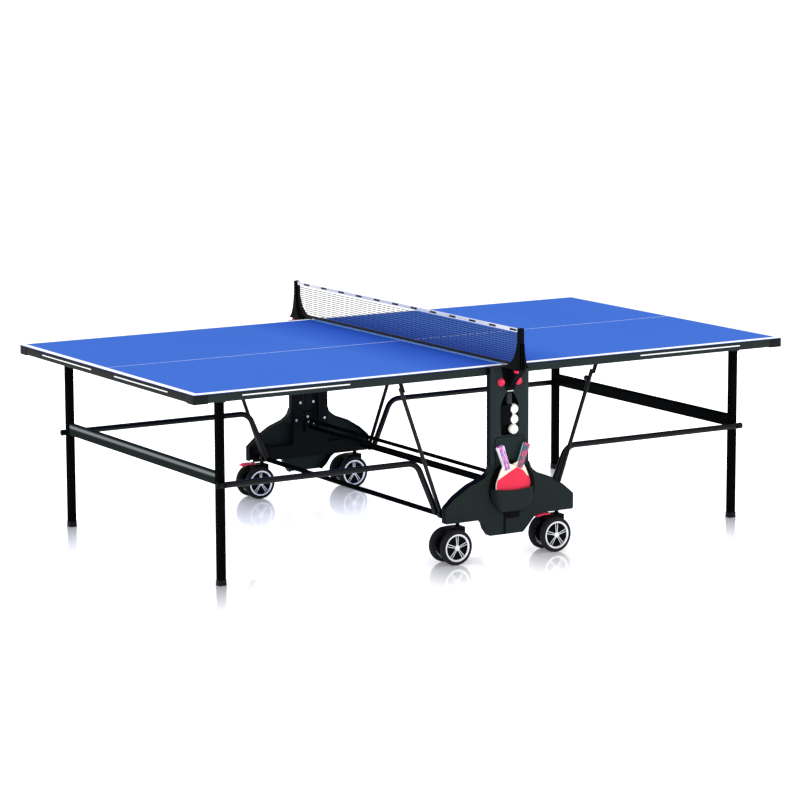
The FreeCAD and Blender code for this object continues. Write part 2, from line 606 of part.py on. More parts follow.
def caster(row_name, row, side_name, side):
    """A twin-wheel caster: swivelling hub with its stem, and the wheel pair on its axle."""
    stem_x = f"({side} * caster_x)"
    wheel_x = f"({side} * caster_x - caster_trail)"
    middle_y = f"{row} * caster_y"
    rise = "hub_top_z - hub_slope"
    hub_outline = [(f"{wheel_x} - hub_half_length", "wheel_radius - hub_half_length"),
                   (f"{wheel_x} + hub_half_length", "wheel_radius - hub_half_length"),
                   (f"{stem_x} + hub_half_length", rise), (f"{stem_x} + hub_half_length", "hub_top_z"),
                   (f"{wheel_x} - hub_half_length / 2", "hub_top_z"), (f"{wheel_x} - hub_half_length", rise)]
    hub = padded("XZ_Plane", hub_outline, "hub_width", ("0", middle_y, "0"), "hub_round")
    stem_low = "(hub_top_z - hub_round)"
    stem_top = "(caster_plate_low_z + caster_plate_height)"
    stem = rod("stem_radius", f"{stem_top} - {stem_low}",
               (stem_x, middle_y, f"({stem_top} + {stem_low}) / 2"), "Z")
    axle_centre = (wheel_x, middle_y, "wheel_radius")
    bore = rod("wheel_axle_radius + running_clearance", "2 * hub_width", axle_centre, "Y")
    node(f"{row_name}_caster_{side_name}", cut(fuse(hub, stem), bore))
    wheels = [wheel(wheel_x, f"{middle_y} + {way} * wheel_offset") for way in (-1, 1)]
    axle = rod("wheel_axle_radius", "2 * wheel_offset", axle_centre, "Y")
    node(f"{row_name}_wheels_{side_name}", fuse(axle, *wheels))


def wheel(centre_x, centre_y):
    """One wheel, turned from a half section with rounded shoulders."""
    body = doc.addObject("PartDesign::Body", "wheel")
    width, rim, web = "wheel_width / 2", "rim_radius", "wheel_web_half"
    outline = [("0", f"-{web}"), (f"{rim} - rim_slope", f"-{web}"), (rim, f"-({width})"),
               ("wheel_radius - wheel_round", f"-({width})"), ("wheel_radius", f"-({width}) + wheel_round"),
               ("wheel_radius", f"{width} - wheel_round"),
               ("wheel_radius - wheel_round", width), (rim, width),
               (f"{rim} - rim_slope", web), ("0", web)]
    sketch = outline_sketch(body, "XY_Plane", outline)
    turned = body.newObject("PartDesign::Revolution", "turned")
    turned.Profile = sketch
    turned.ReferenceAxis = (sketch, ["V_Axis"])
    turned.Angle = 360
    place(body, (centre_x, centre_y, "wheel_radius"))
    return body


def brake_pedal(row_name, row, side_name, side):
    """A brake pedal reaching back over the wheels from the caster's hub."""
    back = f"{side} * caster_x - pedal_start"
    plate = padded("XY_Plane", rectangle("pedal_length", "pedal_width"), "pedal_thickness",
                   (f"{back} - pedal_length / 2", f"{row} * caster_y", "pedal_z"), "pedal_round")
    barrel = rod("pedal_barrel_radius", "pedal_width - 3 * pedal_round",
                 (back, f"{row} * caster_y", "pedal_z"), "Y")
    node(f"{row_name}_pedal_{side_name}", fuse(plate, barrel))


for side_name, side in SIDES:
    playing_half(side_name, side)
    leg_frame(side_name, side)
    link_frame(side_name, side)
    struts(side_name, side)
    guide_pins(side_name, side)
for row_name, row in ROWS:
    side_frame(row_name, row)
    column_cover(row_name, row)
    shroud(row_name, row)
    for side_name, side in SIDES:
        caster(row_name, row, side_name, side)
carriage_insides()
bat_pockets()
bat("front_bat", "front_bat_y", -1)
bat("back_bat", "back_bat_y", 1)
net()
small_pieces()
brake_pedal("near", -1, "right", 1)
brake_pedal("far", 1, "left", -1)

doc.recompute()
for thing in doc.Objects:
    if "Invalid" in thing.State or "Error" in thing.State:
        raise RuntimeError(f"{thing.Label}: {thing.State}")
for thing in NODES:
    if thing.Shape.isNull() or not thing.Shape.isValid():
        raise RuntimeError(f"{thing.Label} has no valid shape")
for thing in NODES:
    thing.Shape.exportStep(f"parts/{thing.Label}.step")
    box = thing.Shape.BoundBox
    print(f"{thing.Label:24s} solids {len(thing.Shape.Solids)} volume {thing.Shape.Volume / 1000:9.1f} cm3",
          f"x {box.XMin:.1f} {box.XMax:.1f} y {box.YMin:.1f} {box.YMax:.1f} z {box.ZMin:.1f} {box.ZMax:.1f}")
print(len(NODES), "nodes")
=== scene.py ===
# %% [markdown]
# # A folding table tennis table
# Blender adds what the eye looks for: rounded plastic covers, spoked wheels, a knotted net, bats, and
# the finish of every surface. Places are read from the frame, so nothing has to be fitted by hand.

# %% Load the frame
import bpy
import bmesh
from math import atan2, cos, pi, radians, sin, sqrt, tau
from mathutils import Matrix, Vector


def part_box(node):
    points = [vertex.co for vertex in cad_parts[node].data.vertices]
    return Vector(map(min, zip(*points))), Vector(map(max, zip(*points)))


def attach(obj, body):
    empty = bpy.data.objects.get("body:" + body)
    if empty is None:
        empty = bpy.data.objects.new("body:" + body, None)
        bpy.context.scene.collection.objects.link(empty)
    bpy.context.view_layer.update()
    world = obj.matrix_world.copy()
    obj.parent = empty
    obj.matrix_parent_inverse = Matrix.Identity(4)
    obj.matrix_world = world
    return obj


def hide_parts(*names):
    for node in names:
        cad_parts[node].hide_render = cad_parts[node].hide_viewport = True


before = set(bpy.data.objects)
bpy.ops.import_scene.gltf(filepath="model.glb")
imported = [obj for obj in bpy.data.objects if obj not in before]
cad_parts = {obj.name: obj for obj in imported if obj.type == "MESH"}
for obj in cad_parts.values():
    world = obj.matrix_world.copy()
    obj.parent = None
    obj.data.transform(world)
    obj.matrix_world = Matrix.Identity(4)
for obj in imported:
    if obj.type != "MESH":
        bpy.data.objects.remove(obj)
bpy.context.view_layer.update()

# %% [markdown]
# ## The studio
# A product picture needs one camera, a pale floor and broad soft lights. The camera stands far away with a
# long lens, which keeps the table's long lines nearly parallel. Large area lights give wide, quiet
# highlights on the dark tubes and covers.

# %% Camera
CAMERA_PLACE = Vector((-6.6715, -10.8919, 2.6294))
CAMERA_YAW = 0.5487
CAMERA_PITCH = -0.1643
CAMERA_ROLL = -0.0033
LENS = 141.2


def aimed_camera():
    """A camera that looks along its yaw and pitch, counted from +Y, with a little roll."""
    data = bpy.data.cameras.new("studio_camera")
    data.lens = LENS
    data.sensor_width = 36
    data.clip_end = 100
    camera = bpy.data.objects.new("studio_camera", data)
    turn = Matrix.Rotation(-CAMERA_YAW, 4, "Z") @ Matrix.Rotation(pi / 2 + CAMERA_PITCH, 4, "X")
    camera.matrix_world = Matrix.Translation(CAMERA_PLACE) @ turn @ Matrix.Rotation(CAMERA_ROLL, 4, "Z")
    bpy.context.scene.collection.objects.link(camera)
    bpy.context.scene.camera = camera
    return camera


camera = aimed_camera()
print("camera looks along", tuple(round(v, 3) for v in camera.matrix_world.to_3x3() @ Vector((0, 0, -1))))

# %% [markdown]
# ## Lights
# A small lamp gives hard white spots on dark plastic. Three large rectangles, overhead, in front and at the
# side, give broad soft highlights instead, and an even white world fills the shadows. Lamps could be placed
# by hand in the viewport; aiming each one at a spot in code keeps the set easy to read and to change.

# %% Lights


def area_light(name, place, aim, size, power):
    """A rectangular soft light that points at a spot."""
    data = bpy.data.lights.new(name, "AREA")
    data.shape = "RECTANGLE"
    data.size, data.size_y = size
    data.energy = power
    lamp = bpy.data.objects.new(name, data)
    lamp.location = place
    lamp.rotation_euler = (Vector(aim) - Vector(place)).to_track_quat("-Z", "Y").to_euler()
    bpy.context.scene.collection.objects.link(lamp)


area_light("sky_panel", (0, -1, 6.5), (0, 0, 0.4), (8, 6), 95)
area_light("front_panel", (-4, -8, 4.2), (0, 0, 0.4), (6, 3), 70)
area_light("side_panel", (7, -4, 3.0), (0, 0, 0.5), (4, 3), 30)

world = bpy.data.worlds.new("studio_air")
world.use_nodes = True
world.node_tree.nodes["Background"].inputs["Color"].default_value = (1, 1, 1, 1)
world.node_tree.nodes["Background"].inputs["Strength"].default_value = 1.0
bpy.context.scene.world = world
bpy.context.scene.view_settings.view_transform = "Standard"

# %% [markdown]
# ## Writing finishes as sums
# A finish is a small graph of nodes. It reads better as arithmetic, so one class wraps a socket and turns
# `+`, `*` or `<` into Math nodes, and one method adds any other node. Values that don't change over the
# surface go straight onto the shader's own sockets.

# %% A socket that can be added and multiplied


class Term:
    """A number that varies over a surface."""

    def __init__(self, finish, socket):
        self.finish, self.socket = finish, socket

    def maths(self, operation, *others):
        return self.finish.add("Math", {"operation": operation}, {i: v for i, v in enumerate(others)})

    def __add__(self, other):
        return self.maths("ADD", self, other)

    def __radd__(self, other):
        return self.maths("ADD", other, self)

    def __sub__(self, other):
        return self.maths("SUBTRACT", self, other)

    def __rsub__(self, other):
        return self.maths("SUBTRACT", other, self)

    def __mul__(self, other):
        return self.maths("MULTIPLY", self, other)

    def __rmul__(self, other):
        return self.maths("MULTIPLY", other, self)

    def __truediv__(self, other):
        return self.maths("DIVIDE", self, other)

    def __gt__(self, other):
        return self.maths("GREATER_THAN", self, other)

    def __lt__(self, other):
        return self.maths("LESS_THAN", self, other)

    def larger(self, other):
        return self.maths("MAXIMUM", self, other)

    def smaller(self, other):
        return self.maths("MINIMUM", self, other)

    def __abs__(self):
        return self.maths("ABSOLUTE", self)

    def fraction(self):
        return self.maths("FRACT", self)


# %% [markdown]
# ## A material under construction
# Every solid finish starts from the Principled shader, which already knows plastic, paint and metal. Nodes
# could be placed by hand in the editor, but the same few patterns return in each finish: a noise, a blend
# of two colours, a bump. The class below keeps those patterns, so a recipe only says what is special about
# it.

# %% A finish and its nodes


class Finish:
    """A material under construction, with its Principled shader."""

    def __init__(self, name, **fixed):
        self.material = bpy.data.materials.new(name)
        self.material.use_nodes = True
        self.tree = self.material.node_tree
        self.shader = self.tree.nodes["Principled BSDF"]
        for key, value in fixed.items():
            self.set(key.replace("_", " ").title().replace("Ior", "IOR"), value)

    def add(self, kind, settings=None, values=None, out=0):
        """Adds a node, sets its options first and then its sockets."""
        item = self.tree.nodes.new("ShaderNode" + kind)
        for key, value in (settings or {}).items():
            if key == "stops":
                self.set_stops(item.color_ramp, value)
            else:
                setattr(item, key, value)
        for key, value in (values or {}).items():
            self.feed(item.inputs[key], value)
        return Term(self, item.outputs[out])

    def set_stops(self, ramp, stops):
        """Gives a ramp bands of flat colour; a new ramp already holds two stops."""
        ramp.interpolation = "CONSTANT"
        for number, (position, colour) in enumerate(stops):
            element = ramp.elements[number] if number < 2 else ramp.elements.new(position)
            element.position = position
            element.color = (*colour, 1)

    def feed(self, socket, value):
        """Links a varying value to a socket, or writes a fixed one into it."""
        if isinstance(value, Term):
            self.tree.links.new(value.socket, socket)
        elif hasattr(value, "__len__") and len(socket.default_value) == 4 and len(value) == 3:
            socket.default_value = (*value, 1)
        else:
            socket.default_value = value

    def set(self, name, value):
        self.feed(self.shader.inputs[name], value)
        return self

    def place(self):
        """X, Y and Z of a point on the object."""
        here = self.add("TexCoord", out=3)
        split = self.tree.nodes.new("ShaderNodeSeparateXYZ")
        self.tree.links.new(here.socket, split.inputs[0])
        return here, [Term(self, socket) for socket in split.outputs]

    def noise(self, scale, detail=2.0):
        """Cloudy values between 0 and 1; a larger scale gives finer clouds."""
        return self.add("TexNoise", {}, {"Vector": self.place()[0], "Scale": scale, "Detail": detail})

    def blend(self, mask, low, high):
        """low where the mask is 0, high where it is 1; both are colours."""
        return self.add("Mix", {"data_type": "RGBA"}, {0: mask, 6: low, 7: high}, out=2)

    def bumps(self, height, strength, distance):
        """Tilts the shading as if the surface rose and fell with the height."""
        return self.set("Normal", self.add("Bump", {}, {
            "Height": height, "Strength": strength, "Distance": distance}))


def shade(red, green, blue):
    """A screen colour, 0 to 255, as the linear colour that shaders use."""
    return tuple(((v / 255 + 0.055) / 1.055) ** 2.4 if v > 10 else v / 255 / 12.92
                 for v in (red, green, blue))


# %% [markdown]
# ## The playing surface
# The top is a hard laminate with a faint pebble, painted with white lines. The lines could be thin strips
# of mesh, but strips flicker where they lie in the same plane as the board. Comparing a point's place with
# the edge of the table draws them inside the material, at any sharpness and with no mesh at all.

# %% Playing surface with its lines
HALF_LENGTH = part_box("playing_sheet_right")[1].x
HALF_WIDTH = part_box("playing_sheet_right")[1].y
SHEET_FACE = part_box("playing_sheet_left")[1].z
EDGE_LINE = 0.020
CENTRE_LINE = 0.003
FACE_DEPTH = 0.0025
NET_LIP = 0.011
NET_SHADOW_REACH = 0.36


def laminate():
    """Blue laminate: white lines, a painted shadow that deepens towards the net, and a pale lip where the
    halves meet.
    """
    finish = Finish("laminate_blue", specular_ior_level=0.0)
    x, y, z = finish.place()[1]
    edge = (abs(x) > HALF_LENGTH - EDGE_LINE).larger(abs(y) > HALF_WIDTH - EDGE_LINE)
    on_top = z > SHEET_FACE - FACE_DEPTH
    line = edge.larger(abs(y) < CENTRE_LINE / 2) * on_top
    lip = (abs(x) < NET_LIP) * on_top
    cloudy = finish.noise(1.3, 3)
    speckle = finish.noise(900, 2)
    mottle = cloudy * 0.7 + speckle * 0.3
    open_blue = finish.blend(mottle, shade(58, 101, 193), shade(71, 113, 206))
    # towards the net the blue deepens: this is painted shadow of the net
    net_shadow_blue = finish.blend(mottle, shade(30, 68, 170), shade(42, 80, 186))
    blue = finish.blend((abs(x) / NET_SHADOW_REACH).smaller(1), net_shadow_blue, open_blue)
    blue = finish.blend(lip, blue, shade(122, 168, 236))
    white = finish.blend(speckle, shade(232, 234, 238), shade(248, 249, 252))
    finish.set("Base Color", finish.blend(line, blue, white))
    finish.set("Roughness", 0.40 + cloudy * 0.10 + speckle * 0.06 - line * 0.08)
    return finish.bumps(speckle, 0.18, 0.0004).material


# %% [markdown]
# ## Paints, plastics, rubber and metal
# Powder coat is dry paint melted onto steel, and it sets with a fine orange peel. Covers are moulded
# against a grained tool, rubber is duller and holds dust, and plated steel keeps faint drawing marks. Each
# could be an image, but noise needs no unwrapping and stays sharp close up. A recipe takes its colours, so
# every further part needs only one line.

# %% Powder coat, moulded plastic, rubber and metal


def powder_coat(name, dark, light, gloss, shine=0.08, lacquer=0.0, peel=420):
    """Painted steel: orange peel, with slightly paler patches where hands polish it."""
    finish = Finish(name, specular_ior_level=shine, coat_weight=lacquer, coat_roughness=gloss * 0.7)
    peel_height = finish.noise(peel, 2)
    handled = finish.noise(6, 4)
    finish.set("Base Color", finish.blend(handled, dark, light))
    finish.set("Roughness", gloss + handled * 0.12 + peel_height * 0.08)
    return finish.bumps(peel_height, 0.12, 0.0004).material


def brace_coat():
    """The brace's paint with painted light: a paler outer face where light falls, and a glossy shoulder
    carrying a painted highlight band.
    """
    finish = Finish("brace_coat_with_painted_light", specular_ior_level=0.0, coat_roughness=0.22)
    x, y, z = finish.place()[1]
    low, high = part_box("leg_brace_right")
    peel = finish.noise(420, 2)
    handled = finish.noise(6, 4)
    # the outer face is a paler copy of the black as painted light, and the shoulder band is a painted
    # highlight
    outer = abs(x) > (low.x + high.x) / 2
    painted_highlight_band = (1 - abs(z - (low.z + (high.z - low.z) * 0.72)) / 0.0095).larger(0) * outer
    shaded_face_black = finish.blend(handled, shade(3, 4, 4), shade(8, 9, 9))
    lit_face_grey = finish.blend(handled, shade(22, 29, 29), shade(31, 38, 38))
    paint = finish.blend(outer, shaded_face_black, lit_face_grey)
    finish.set("Base Color", finish.blend(painted_highlight_band, paint, shade(104, 110, 111)))
    finish.set("Coat Weight", 0.02 + painted_highlight_band * 0.6)
    finish.set("Roughness", 0.3 + handled * 0.12 + peel * 0.08)
    return finish.bumps(peel, 0.12, 0.0004).material


def moulded(name, dark, light, rough, shine=0.1, grain=1400):
    """Injection-moulded plastic with an even eroded grain."""
    finish = Finish(name, specular_ior_level=shine)
    grains = finish.noise(grain, 3)
    flow = finish.noise(4, 3)
    finish.set("Base Color", finish.blend(flow * 0.6 + grains * 0.4, dark, light))
    finish.set("Roughness", rough + grains * 0.14 + flow * 0.06)
    return finish.bumps(grains, 0.25, 0.0003).material


def rubber(name, dark, light, rough=0.62):
    """Solid rubber, with dust in its pores."""
    finish = Finish(name, specular_ior_level=0.12)
    pores = finish.noise(700, 4)
    dust = finish.noise(11, 5)
    finish.set("Base Color", finish.blend(dust, dark, light))
    finish.set("Roughness", rough + pores * 0.2)
    return finish.bumps(pores, 0.3, 0.0004).material


def metal(name, dark, light, rough, brushed=60):
    """Bare or lacquered metal with fine drawing marks."""
    finish = Finish(name, metallic=1.0)
    marks = finish.noise(brushed, 5)
    fine = finish.noise(brushed * 14, 2)
    finish.set("Base Color", finish.blend(marks, dark, light))
    finish.set("Roughness", rough + marks * 0.14)
    return finish.bumps(fine, 0.1, 0.0002).material


# %% [markdown]
# ## The finishes of this table
# Black is never one colour on a real table: round tubes are glossier than square ones, and covers are a
# little greener than guards. One shared black would flatten them all. Each finish gets its own darker and
# paler tone, and the recipe wanders between the two.

# %% The finishes of this table
TOP_BLUE = laminate()
TUBE_BLACK = powder_coat("tube_powder_coat", shade(2, 3, 3), shade(7, 8, 8), 0.26, 0.0, 0.01)
ROUND_BLACK = powder_coat("round_tube_powder_coat", shade(2, 3, 3), shade(7, 8, 8), 0.20, 0.0, 0.30)
BRACE_BLACK = brace_coat()
STEEL_BLACK = powder_coat("steel_powder_coat", shade(7, 8, 9), shade(13, 15, 16), 0.38, 0.05)
FRAME_GREY = powder_coat("frame_powder_coat", shade(30, 37, 38), shade(38, 45, 46), 0.34, 0.15)
# the column cover is a paler copy of the shroud's plastic: a painted highlight
COVER_BLACK_LIT = moulded("cover_moulded_lit", shade(22, 32, 33), shade(31, 42, 43), 0.42)
SHROUD_BLACK = moulded("shroud_moulded", shade(17, 26, 26), shade(24, 33, 33), 0.46)
GUARD_BLACK = moulded("guard_moulded", shade(18, 22, 22), shade(26, 30, 30), 0.42, 0.05)
# also used as painted shade on side walls, inside the ball store and round the bats
DEEP_BLACK = moulded("deep_moulded", shade(4, 5, 6), shade(9, 10, 11), 0.42, 0.03)
SIGNAL_RED = moulded("signal_red", shade(214, 34, 74), shade(238, 52, 92), 0.26, 0.3, 900)
TYRE_BLACK = rubber("tyre_rubber", shade(14, 15, 16), shade(30, 31, 32))
FOOT_BLACK = rubber("foot_rubber", shade(12, 12, 13), shade(24, 24, 25), 0.5)
RIM_SILVER = metal("rim_lacquer", shade(176, 178, 182), shade(222, 224, 228), 0.18)
ZINC = metal("zinc_plate", shade(170, 172, 176), shade(226, 228, 230), 0.22)
print("finishes so far:", len(bpy.data.materials))

# %% [markdown]
# ## The apron's stripes
# Thin white stripes run along the long sides and the ends of the frame. On the real table they are printed
# film, far too thin to model. As with the lines, a few comparisons give a mask of ones and zeros, and the
# mask picks between paint and stripe.

# %% Apron with its stripes
STRIPE_LOW = 0.7385
STRIPE_HIGH = 0.7430
SIDE_FACE = 0.7612
END_FACE = 1.3687
END_SHADE_START = 1.3672


def apron_finish():
    """The frame's grey paint, darker on the end faces as painted shade, with the thin white stripes along
    the near side and the ends.
    """
    finish = Finish("apron_powder_coat", specular_ior_level=0.04)
    x, y, z = finish.place()[1]
    peel = finish.noise(420, 2)
    handled = finish.noise(5, 4)
    level = (z > STRIPE_LOW) * (z < STRIPE_HIGH)
    left_run = (x > -1.165) * (x < -0.700)
    right_run = (x > 0.655) * (x < 1.155)
    sides = left_run.larger(right_run) * (abs(y) > SIDE_FACE)
    ends = (abs(x) > END_FACE) * (abs(y) > 0.101) * (abs(y) < 0.549)
    stripe = level * sides.larger(ends)
    side_paint = finish.blend(handled, shade(31, 38, 39), shade(38, 45, 46))
    # the end faces get a darker copy of the same grey: painted shade
    end_shade_paint = finish.blend(handled, shade(15, 18, 18), shade(22, 25, 25))
    paint = finish.blend(abs(x) > END_SHADE_START, side_paint, end_shade_paint)
    finish.set("Base Color", finish.blend(stripe, paint, shade(238, 240, 242)))
    finish.set("Roughness", 0.36 + handled * 0.1 + peel * 0.06)
    return finish.bumps(peel, 0.12, 0.0004).material


APRON_GREY = apron_finish()
print("apron stripe height in metres:", round(STRIPE_HIGH - STRIPE_LOW, 4))

# %% [markdown]
# ## Finishes for the engineered parts
# The frame brings sixty parts and most are kept as they are. Their names say what they are, so one list
# from words in a name to finishes dresses all of them in a loop. Where two words fit, the longer one is
# the more exact, and it wins.

# %% Dress the engineering nodes
NODE_FINISHES = {
    "playing_sheet": TOP_BLUE, "side_rails": APRON_GREY, "outer_rail": APRON_GREY, "centre_rail": FRAME_GREY,
    "under_ribs": STEEL_BLACK, "corner_guards": DEEP_BLACK, "hinge_brackets": STEEL_BLACK,
    "legs": TUBE_BLACK, "leg_brace": BRACE_BLACK, "leg_feet": FOOT_BLACK,
    "link_tubes": ROUND_BLACK, "link_caps": DEEP_BLACK, "foot_axle": TUBE_BLACK, "struts": ROUND_BLACK,
    "guide_pins": ZINC, "side_frame": STEEL_BLACK, "column_cover": COVER_BLACK_LIT, "shroud": SHROUD_BLACK,
    "bat_pockets": SHROUD_BLACK, "caster_plates": STEEL_BLACK, "cross_tubes": TUBE_BLACK,
    "net_post": DEEP_BLACK, "caster": DEEP_BLACK, "wheels": TYRE_BLACK, "pedal": SIGNAL_RED,
    "button": SIGNAL_RED, "bat": SIGNAL_RED, "balls": RIM_SILVER, "net_mesh": TUBE_BLACK,
    "net_bands": DEEP_BLACK,
}


def dress(node_name, node_object):
    """Gives a node the finish of the longest key that its name holds."""
    keys = [key for key in NODE_FINISHES if key in node_name]
    node_object.data.materials.clear()
    node_object.data.materials.append(NODE_FINISHES[max(keys, key=len)])


for node_name, node_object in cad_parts.items():
    dress(node_name, node_object)
print("nodes dressed:", len(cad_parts))

# %% [markdown]
# ## A small workshop
# Most parts of a table like this are made in three ways: cut from a flat outline, turned round an axis or
# bent along a path. Modifiers could do the same, but they hide the order of the steps. The helpers call the
# mesh operators directly and add to a mesh that is still open, so a part can be put together from several
# shapes before it is finished.

# %% Outlines and prisms
AXES = {"X": (1, 2, 0), "Y": (0, 2, 1), "Z": (0, 1, 2)}


def point_on(axis, u, v, depth):
    """A point from its two places in an outline and its depth along the axis."""
    place = [0, 0, 0]
    for index, value in zip(AXES[axis], (u, v, depth)):
        place[index] = value
    return Vector(place)


def rounded(corners, steps=6):
    """An outline whose corners (u, v, radius) are turned into arcs."""
    outline = []
    for index, (u, v, radius) in enumerate(corners):
        here = Vector((u, v))
        before = Vector(corners[index - 1][:2]) - here
        after = Vector(corners[(index + 1) % len(corners)][:2]) - here
        if radius <= 0:
            outline.append((u, v))
            continue
        half = before.angle(after) / 2
        reach = min(radius / max(1e-6, abs(sin(half) / cos(half))), before.length / 2, after.length / 2)
        start, stop = here + before.normalized() * reach, here + after.normalized() * reach
        for step in range(steps + 1):
            t = step / steps
            outline.append(tuple(start * (1 - t) ** 2 + here * 2 * t * (1 - t) + stop * t * t))
    return outline


def box_outline(u0, u1, v0, v1, radius):
    """A rectangle with four equal round corners."""
    return rounded([(u0, v0, radius), (u1, v0, radius), (u1, v1, radius), (u0, v1, radius)], 5)


def disc_outline(u, v, radius, steps=28):
    """A circle as an outline."""
    return [(u + radius * cos(tau * k / steps), v + radius * sin(tau * k / steps)) for k in range(steps)]


# %% [markdown]
# ## Prisms and slabs
# An outline drawn straight out is the shape of an extruded or flat moulded part. No real edge is perfectly
# sharp, and a rounded rim is what catches the light, so both helpers bevel their edges. Mirrored parts sit
# on both sides of the table; `span` puts two distances from the middle into rising order on either side.

# %% Prisms and slabs


def span(row, first, second):
    """Two distances from the middle as places on the near (-1) or far (1) side, the lower one first."""
    return sorted((row * first, row * second))


def soften(mesh, edges, width, segments=2):
    """Rounds edges over."""
    bmesh.ops.bevel(mesh, geom=edges, offset=width, offset_type="OFFSET", segments=segments,
                    affect="EDGES", profile=0.5, clamp_overlap=True, material=-1)


def prism(mesh, outline, low, high, axis="Y", bevel=0.0, segments=2, paint=0):
    """An outline drawn out between two depths, with its rims rounded."""
    bottom = [mesh.verts.new(point_on(axis, u, v, low)) for u, v in outline]
    top = [mesh.verts.new(point_on(axis, u, v, high)) for u, v in outline]
    count = len(outline)
    faces = [mesh.faces.new((bottom[i], bottom[(i + 1) % count], top[(i + 1) % count], top[i]))
             for i in range(count)]
    rims = []
    for ring in (bottom, top):
        faces.append(mesh.faces.new(ring))
        rims += faces[-1].edges[:]
    for face in faces:
        face.material_index = paint
    if bevel > 0:
        soften(mesh, rims, bevel, segments)


def slab(mesh, low, high, bevel=0.001, paint=0):
    """A box between two corners, with every edge rounded."""
    low, high = Vector(low), Vector(high)
    size = high - low
    matrix = Matrix.Translation((low + high) / 2) @ Matrix.Diagonal((*size, 1))
    made = bmesh.ops.create_cube(mesh, size=1, matrix=matrix)["verts"]
    faces = {face for vert in made for face in vert.link_faces}
    for face in faces:
        face.material_index = paint
    if bevel > 0:
        edges = {edge for vert in made for edge in vert.link_edges}
        soften(mesh, list(edges), bevel)


# %% [markdown]
# ## Plates with holes
# A cover's front is a flat plate with openings. Holes could be cut with a boolean, which often leaves thin,
# ragged faces. Filling the area between the outer loop and the hole loops makes the same shape cleanly, and
# the rims are known, so they can be rounded.

# %% Plates


def plate(mesh, outline, holes, front, back, axis="Y", bevel=0.0, paint=0):
    """A flat plate between two depths, with holes in it and its front rim rounded."""
    loops = []
    for loop in (outline, *holes):
        verts = [mesh.verts.new(point_on(axis, u, v, front)) for u, v in loop]
        loops.append([mesh.edges.new((verts[i], verts[(i + 1) % len(verts)])) for i in range(len(verts))])
    edges = [edge for loop in loops for edge in loop]
    normal = point_on(axis, 0, 0, 1 if front > back else -1)
    filled = bmesh.ops.triangle_fill(mesh, use_beauty=True, use_dissolve=False, edges=edges, normal=normal)
    faces = [item for item in filled["geom"] if isinstance(item, bmesh.types.BMFace)]
    drawn = bmesh.ops.extrude_face_region(mesh, geom=faces, use_keep_orig=True)
    moved = [item for item in drawn["geom"] if isinstance(item, bmesh.types.BMVert)]
    bmesh.ops.translate(mesh, verts=moved, vec=point_on(axis, 0, 0, back - front))
    for face in {face for vert in moved for face in vert.link_faces} | set(faces):
        face.material_index = paint
    if bevel > 0:
        soften(mesh, edges, bevel)


# %% [markdown]
# ## Turned and swept shapes
# Wheels, caps and bolts are round about an axis, so half of their section spun through a full turn is
# enough. Wires and cords follow a path: a ring of points is carried along it and kept from twisting on the
# way.

# %% Turned and swept shapes


def turned(mesh, profile, centre, axis="Y", steps=48, paint=0):
    """A half section of (radius, height) spun round an axis through the centre."""
    centre = Vector(centre)
    direction = point_on(axis, 0, 0, 1)
    older = set(mesh.faces)
    verts = [mesh.verts.new(centre + point_on(axis, radius, 0, height)) for radius, height in profile]
    edges = [mesh.edges.new(pair) for pair in zip(verts, verts[1:])]
    bmesh.ops.spin(mesh, geom=verts + edges, cent=centre, axis=direction, angle=tau, steps=steps,
                   use_merge=True, use_duplicate=False)
    poles = [vert for vert in mesh.verts if (vert.co - centre).cross(direction).length < 1e-6]
    bmesh.ops.remove_doubles(mesh, verts=poles, dist=1e-6)
    for face in mesh.faces:
        if face not in older:
            face.material_index = paint


def tube(mesh, path, radius, sides=16):
    """A round bar swept along points, closed at both ends."""
    path = [Vector(p) for p in path]
    rings = []
    side = None
    for index, here in enumerate(path):
        ahead = (path[min(index + 1, len(path) - 1)] - path[max(index - 1, 0)]).normalized()
        if side is None:
            side = ahead.orthogonal().normalized()
        side = (side - ahead * side.dot(ahead)).normalized()
        other = ahead.cross(side)
        spokes = [side * cos(tau * k / sides) + other * sin(tau * k / sides) for k in range(sides)]
        rings.append([mesh.verts.new(here + spoke * radius) for spoke in spokes])
    for a, b in zip(rings, rings[1:]):
        for k in range(sides):
            mesh.faces.new((a[k], a[(k + 1) % sides], b[(k + 1) % sides], b[k]))
    mesh.faces.new(rings[0])
    mesh.faces.new(rings[-1])


# %% [markdown]
# ## From mesh to piece
# A mesh is only points and faces. To become a piece it needs outward normals, smooth shading that keeps
# its real corners sharp, its finishes, and the moving body it rides on. Every piece goes through the same
# steps, so one function does them all and reports what it made.

# %% From mesh to piece
SIDES = (("left", -1), ("right", 1))
ROWS = (("near", -1), ("far", 1))


def finished(name, mesh, body, paints, stands_for=(), soft_angle=32):
    """Closes a mesh: outward normals, smooth faces with sharp corners kept, finishes, and its CAD body."""
    bmesh.ops.recalc_face_normals(mesh, faces=mesh.faces[:])
    for face in mesh.faces:
        face.smooth = True
    for edge in mesh.edges:
        edge.smooth = len(edge.link_faces) == 2 and edge.calc_face_angle(0) < radians(soft_angle)
    data = bpy.data.meshes.new(name)
    mesh.to_mesh(data)
    mesh.free()
    for paint in paints if isinstance(paints, (list, tuple)) else [paints]:
        data.materials.append(paint)
    piece = bpy.data.objects.new(name, data)
    bpy.context.scene.collection.objects.link(piece)
    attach(piece, body)
    if stands_for:
        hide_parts(*stands_for)
    print(f"{name}: {len(data.polygons)} faces on {body}")
    return piece


# %% [markdown]
# ## The apron round each half
# The rail is a rolled section: a shallow groove runs just below the laminate and the lower edge is folded
# round. A box would do from afar, but the groove draws the thin dark line under the top. One section drawn
# out along the rail gives groove and fold together.

# %% Rails
RAIL_TOP = 0.756
RAIL_LOW = 0.722
RAIL_DEPTH = 0.027


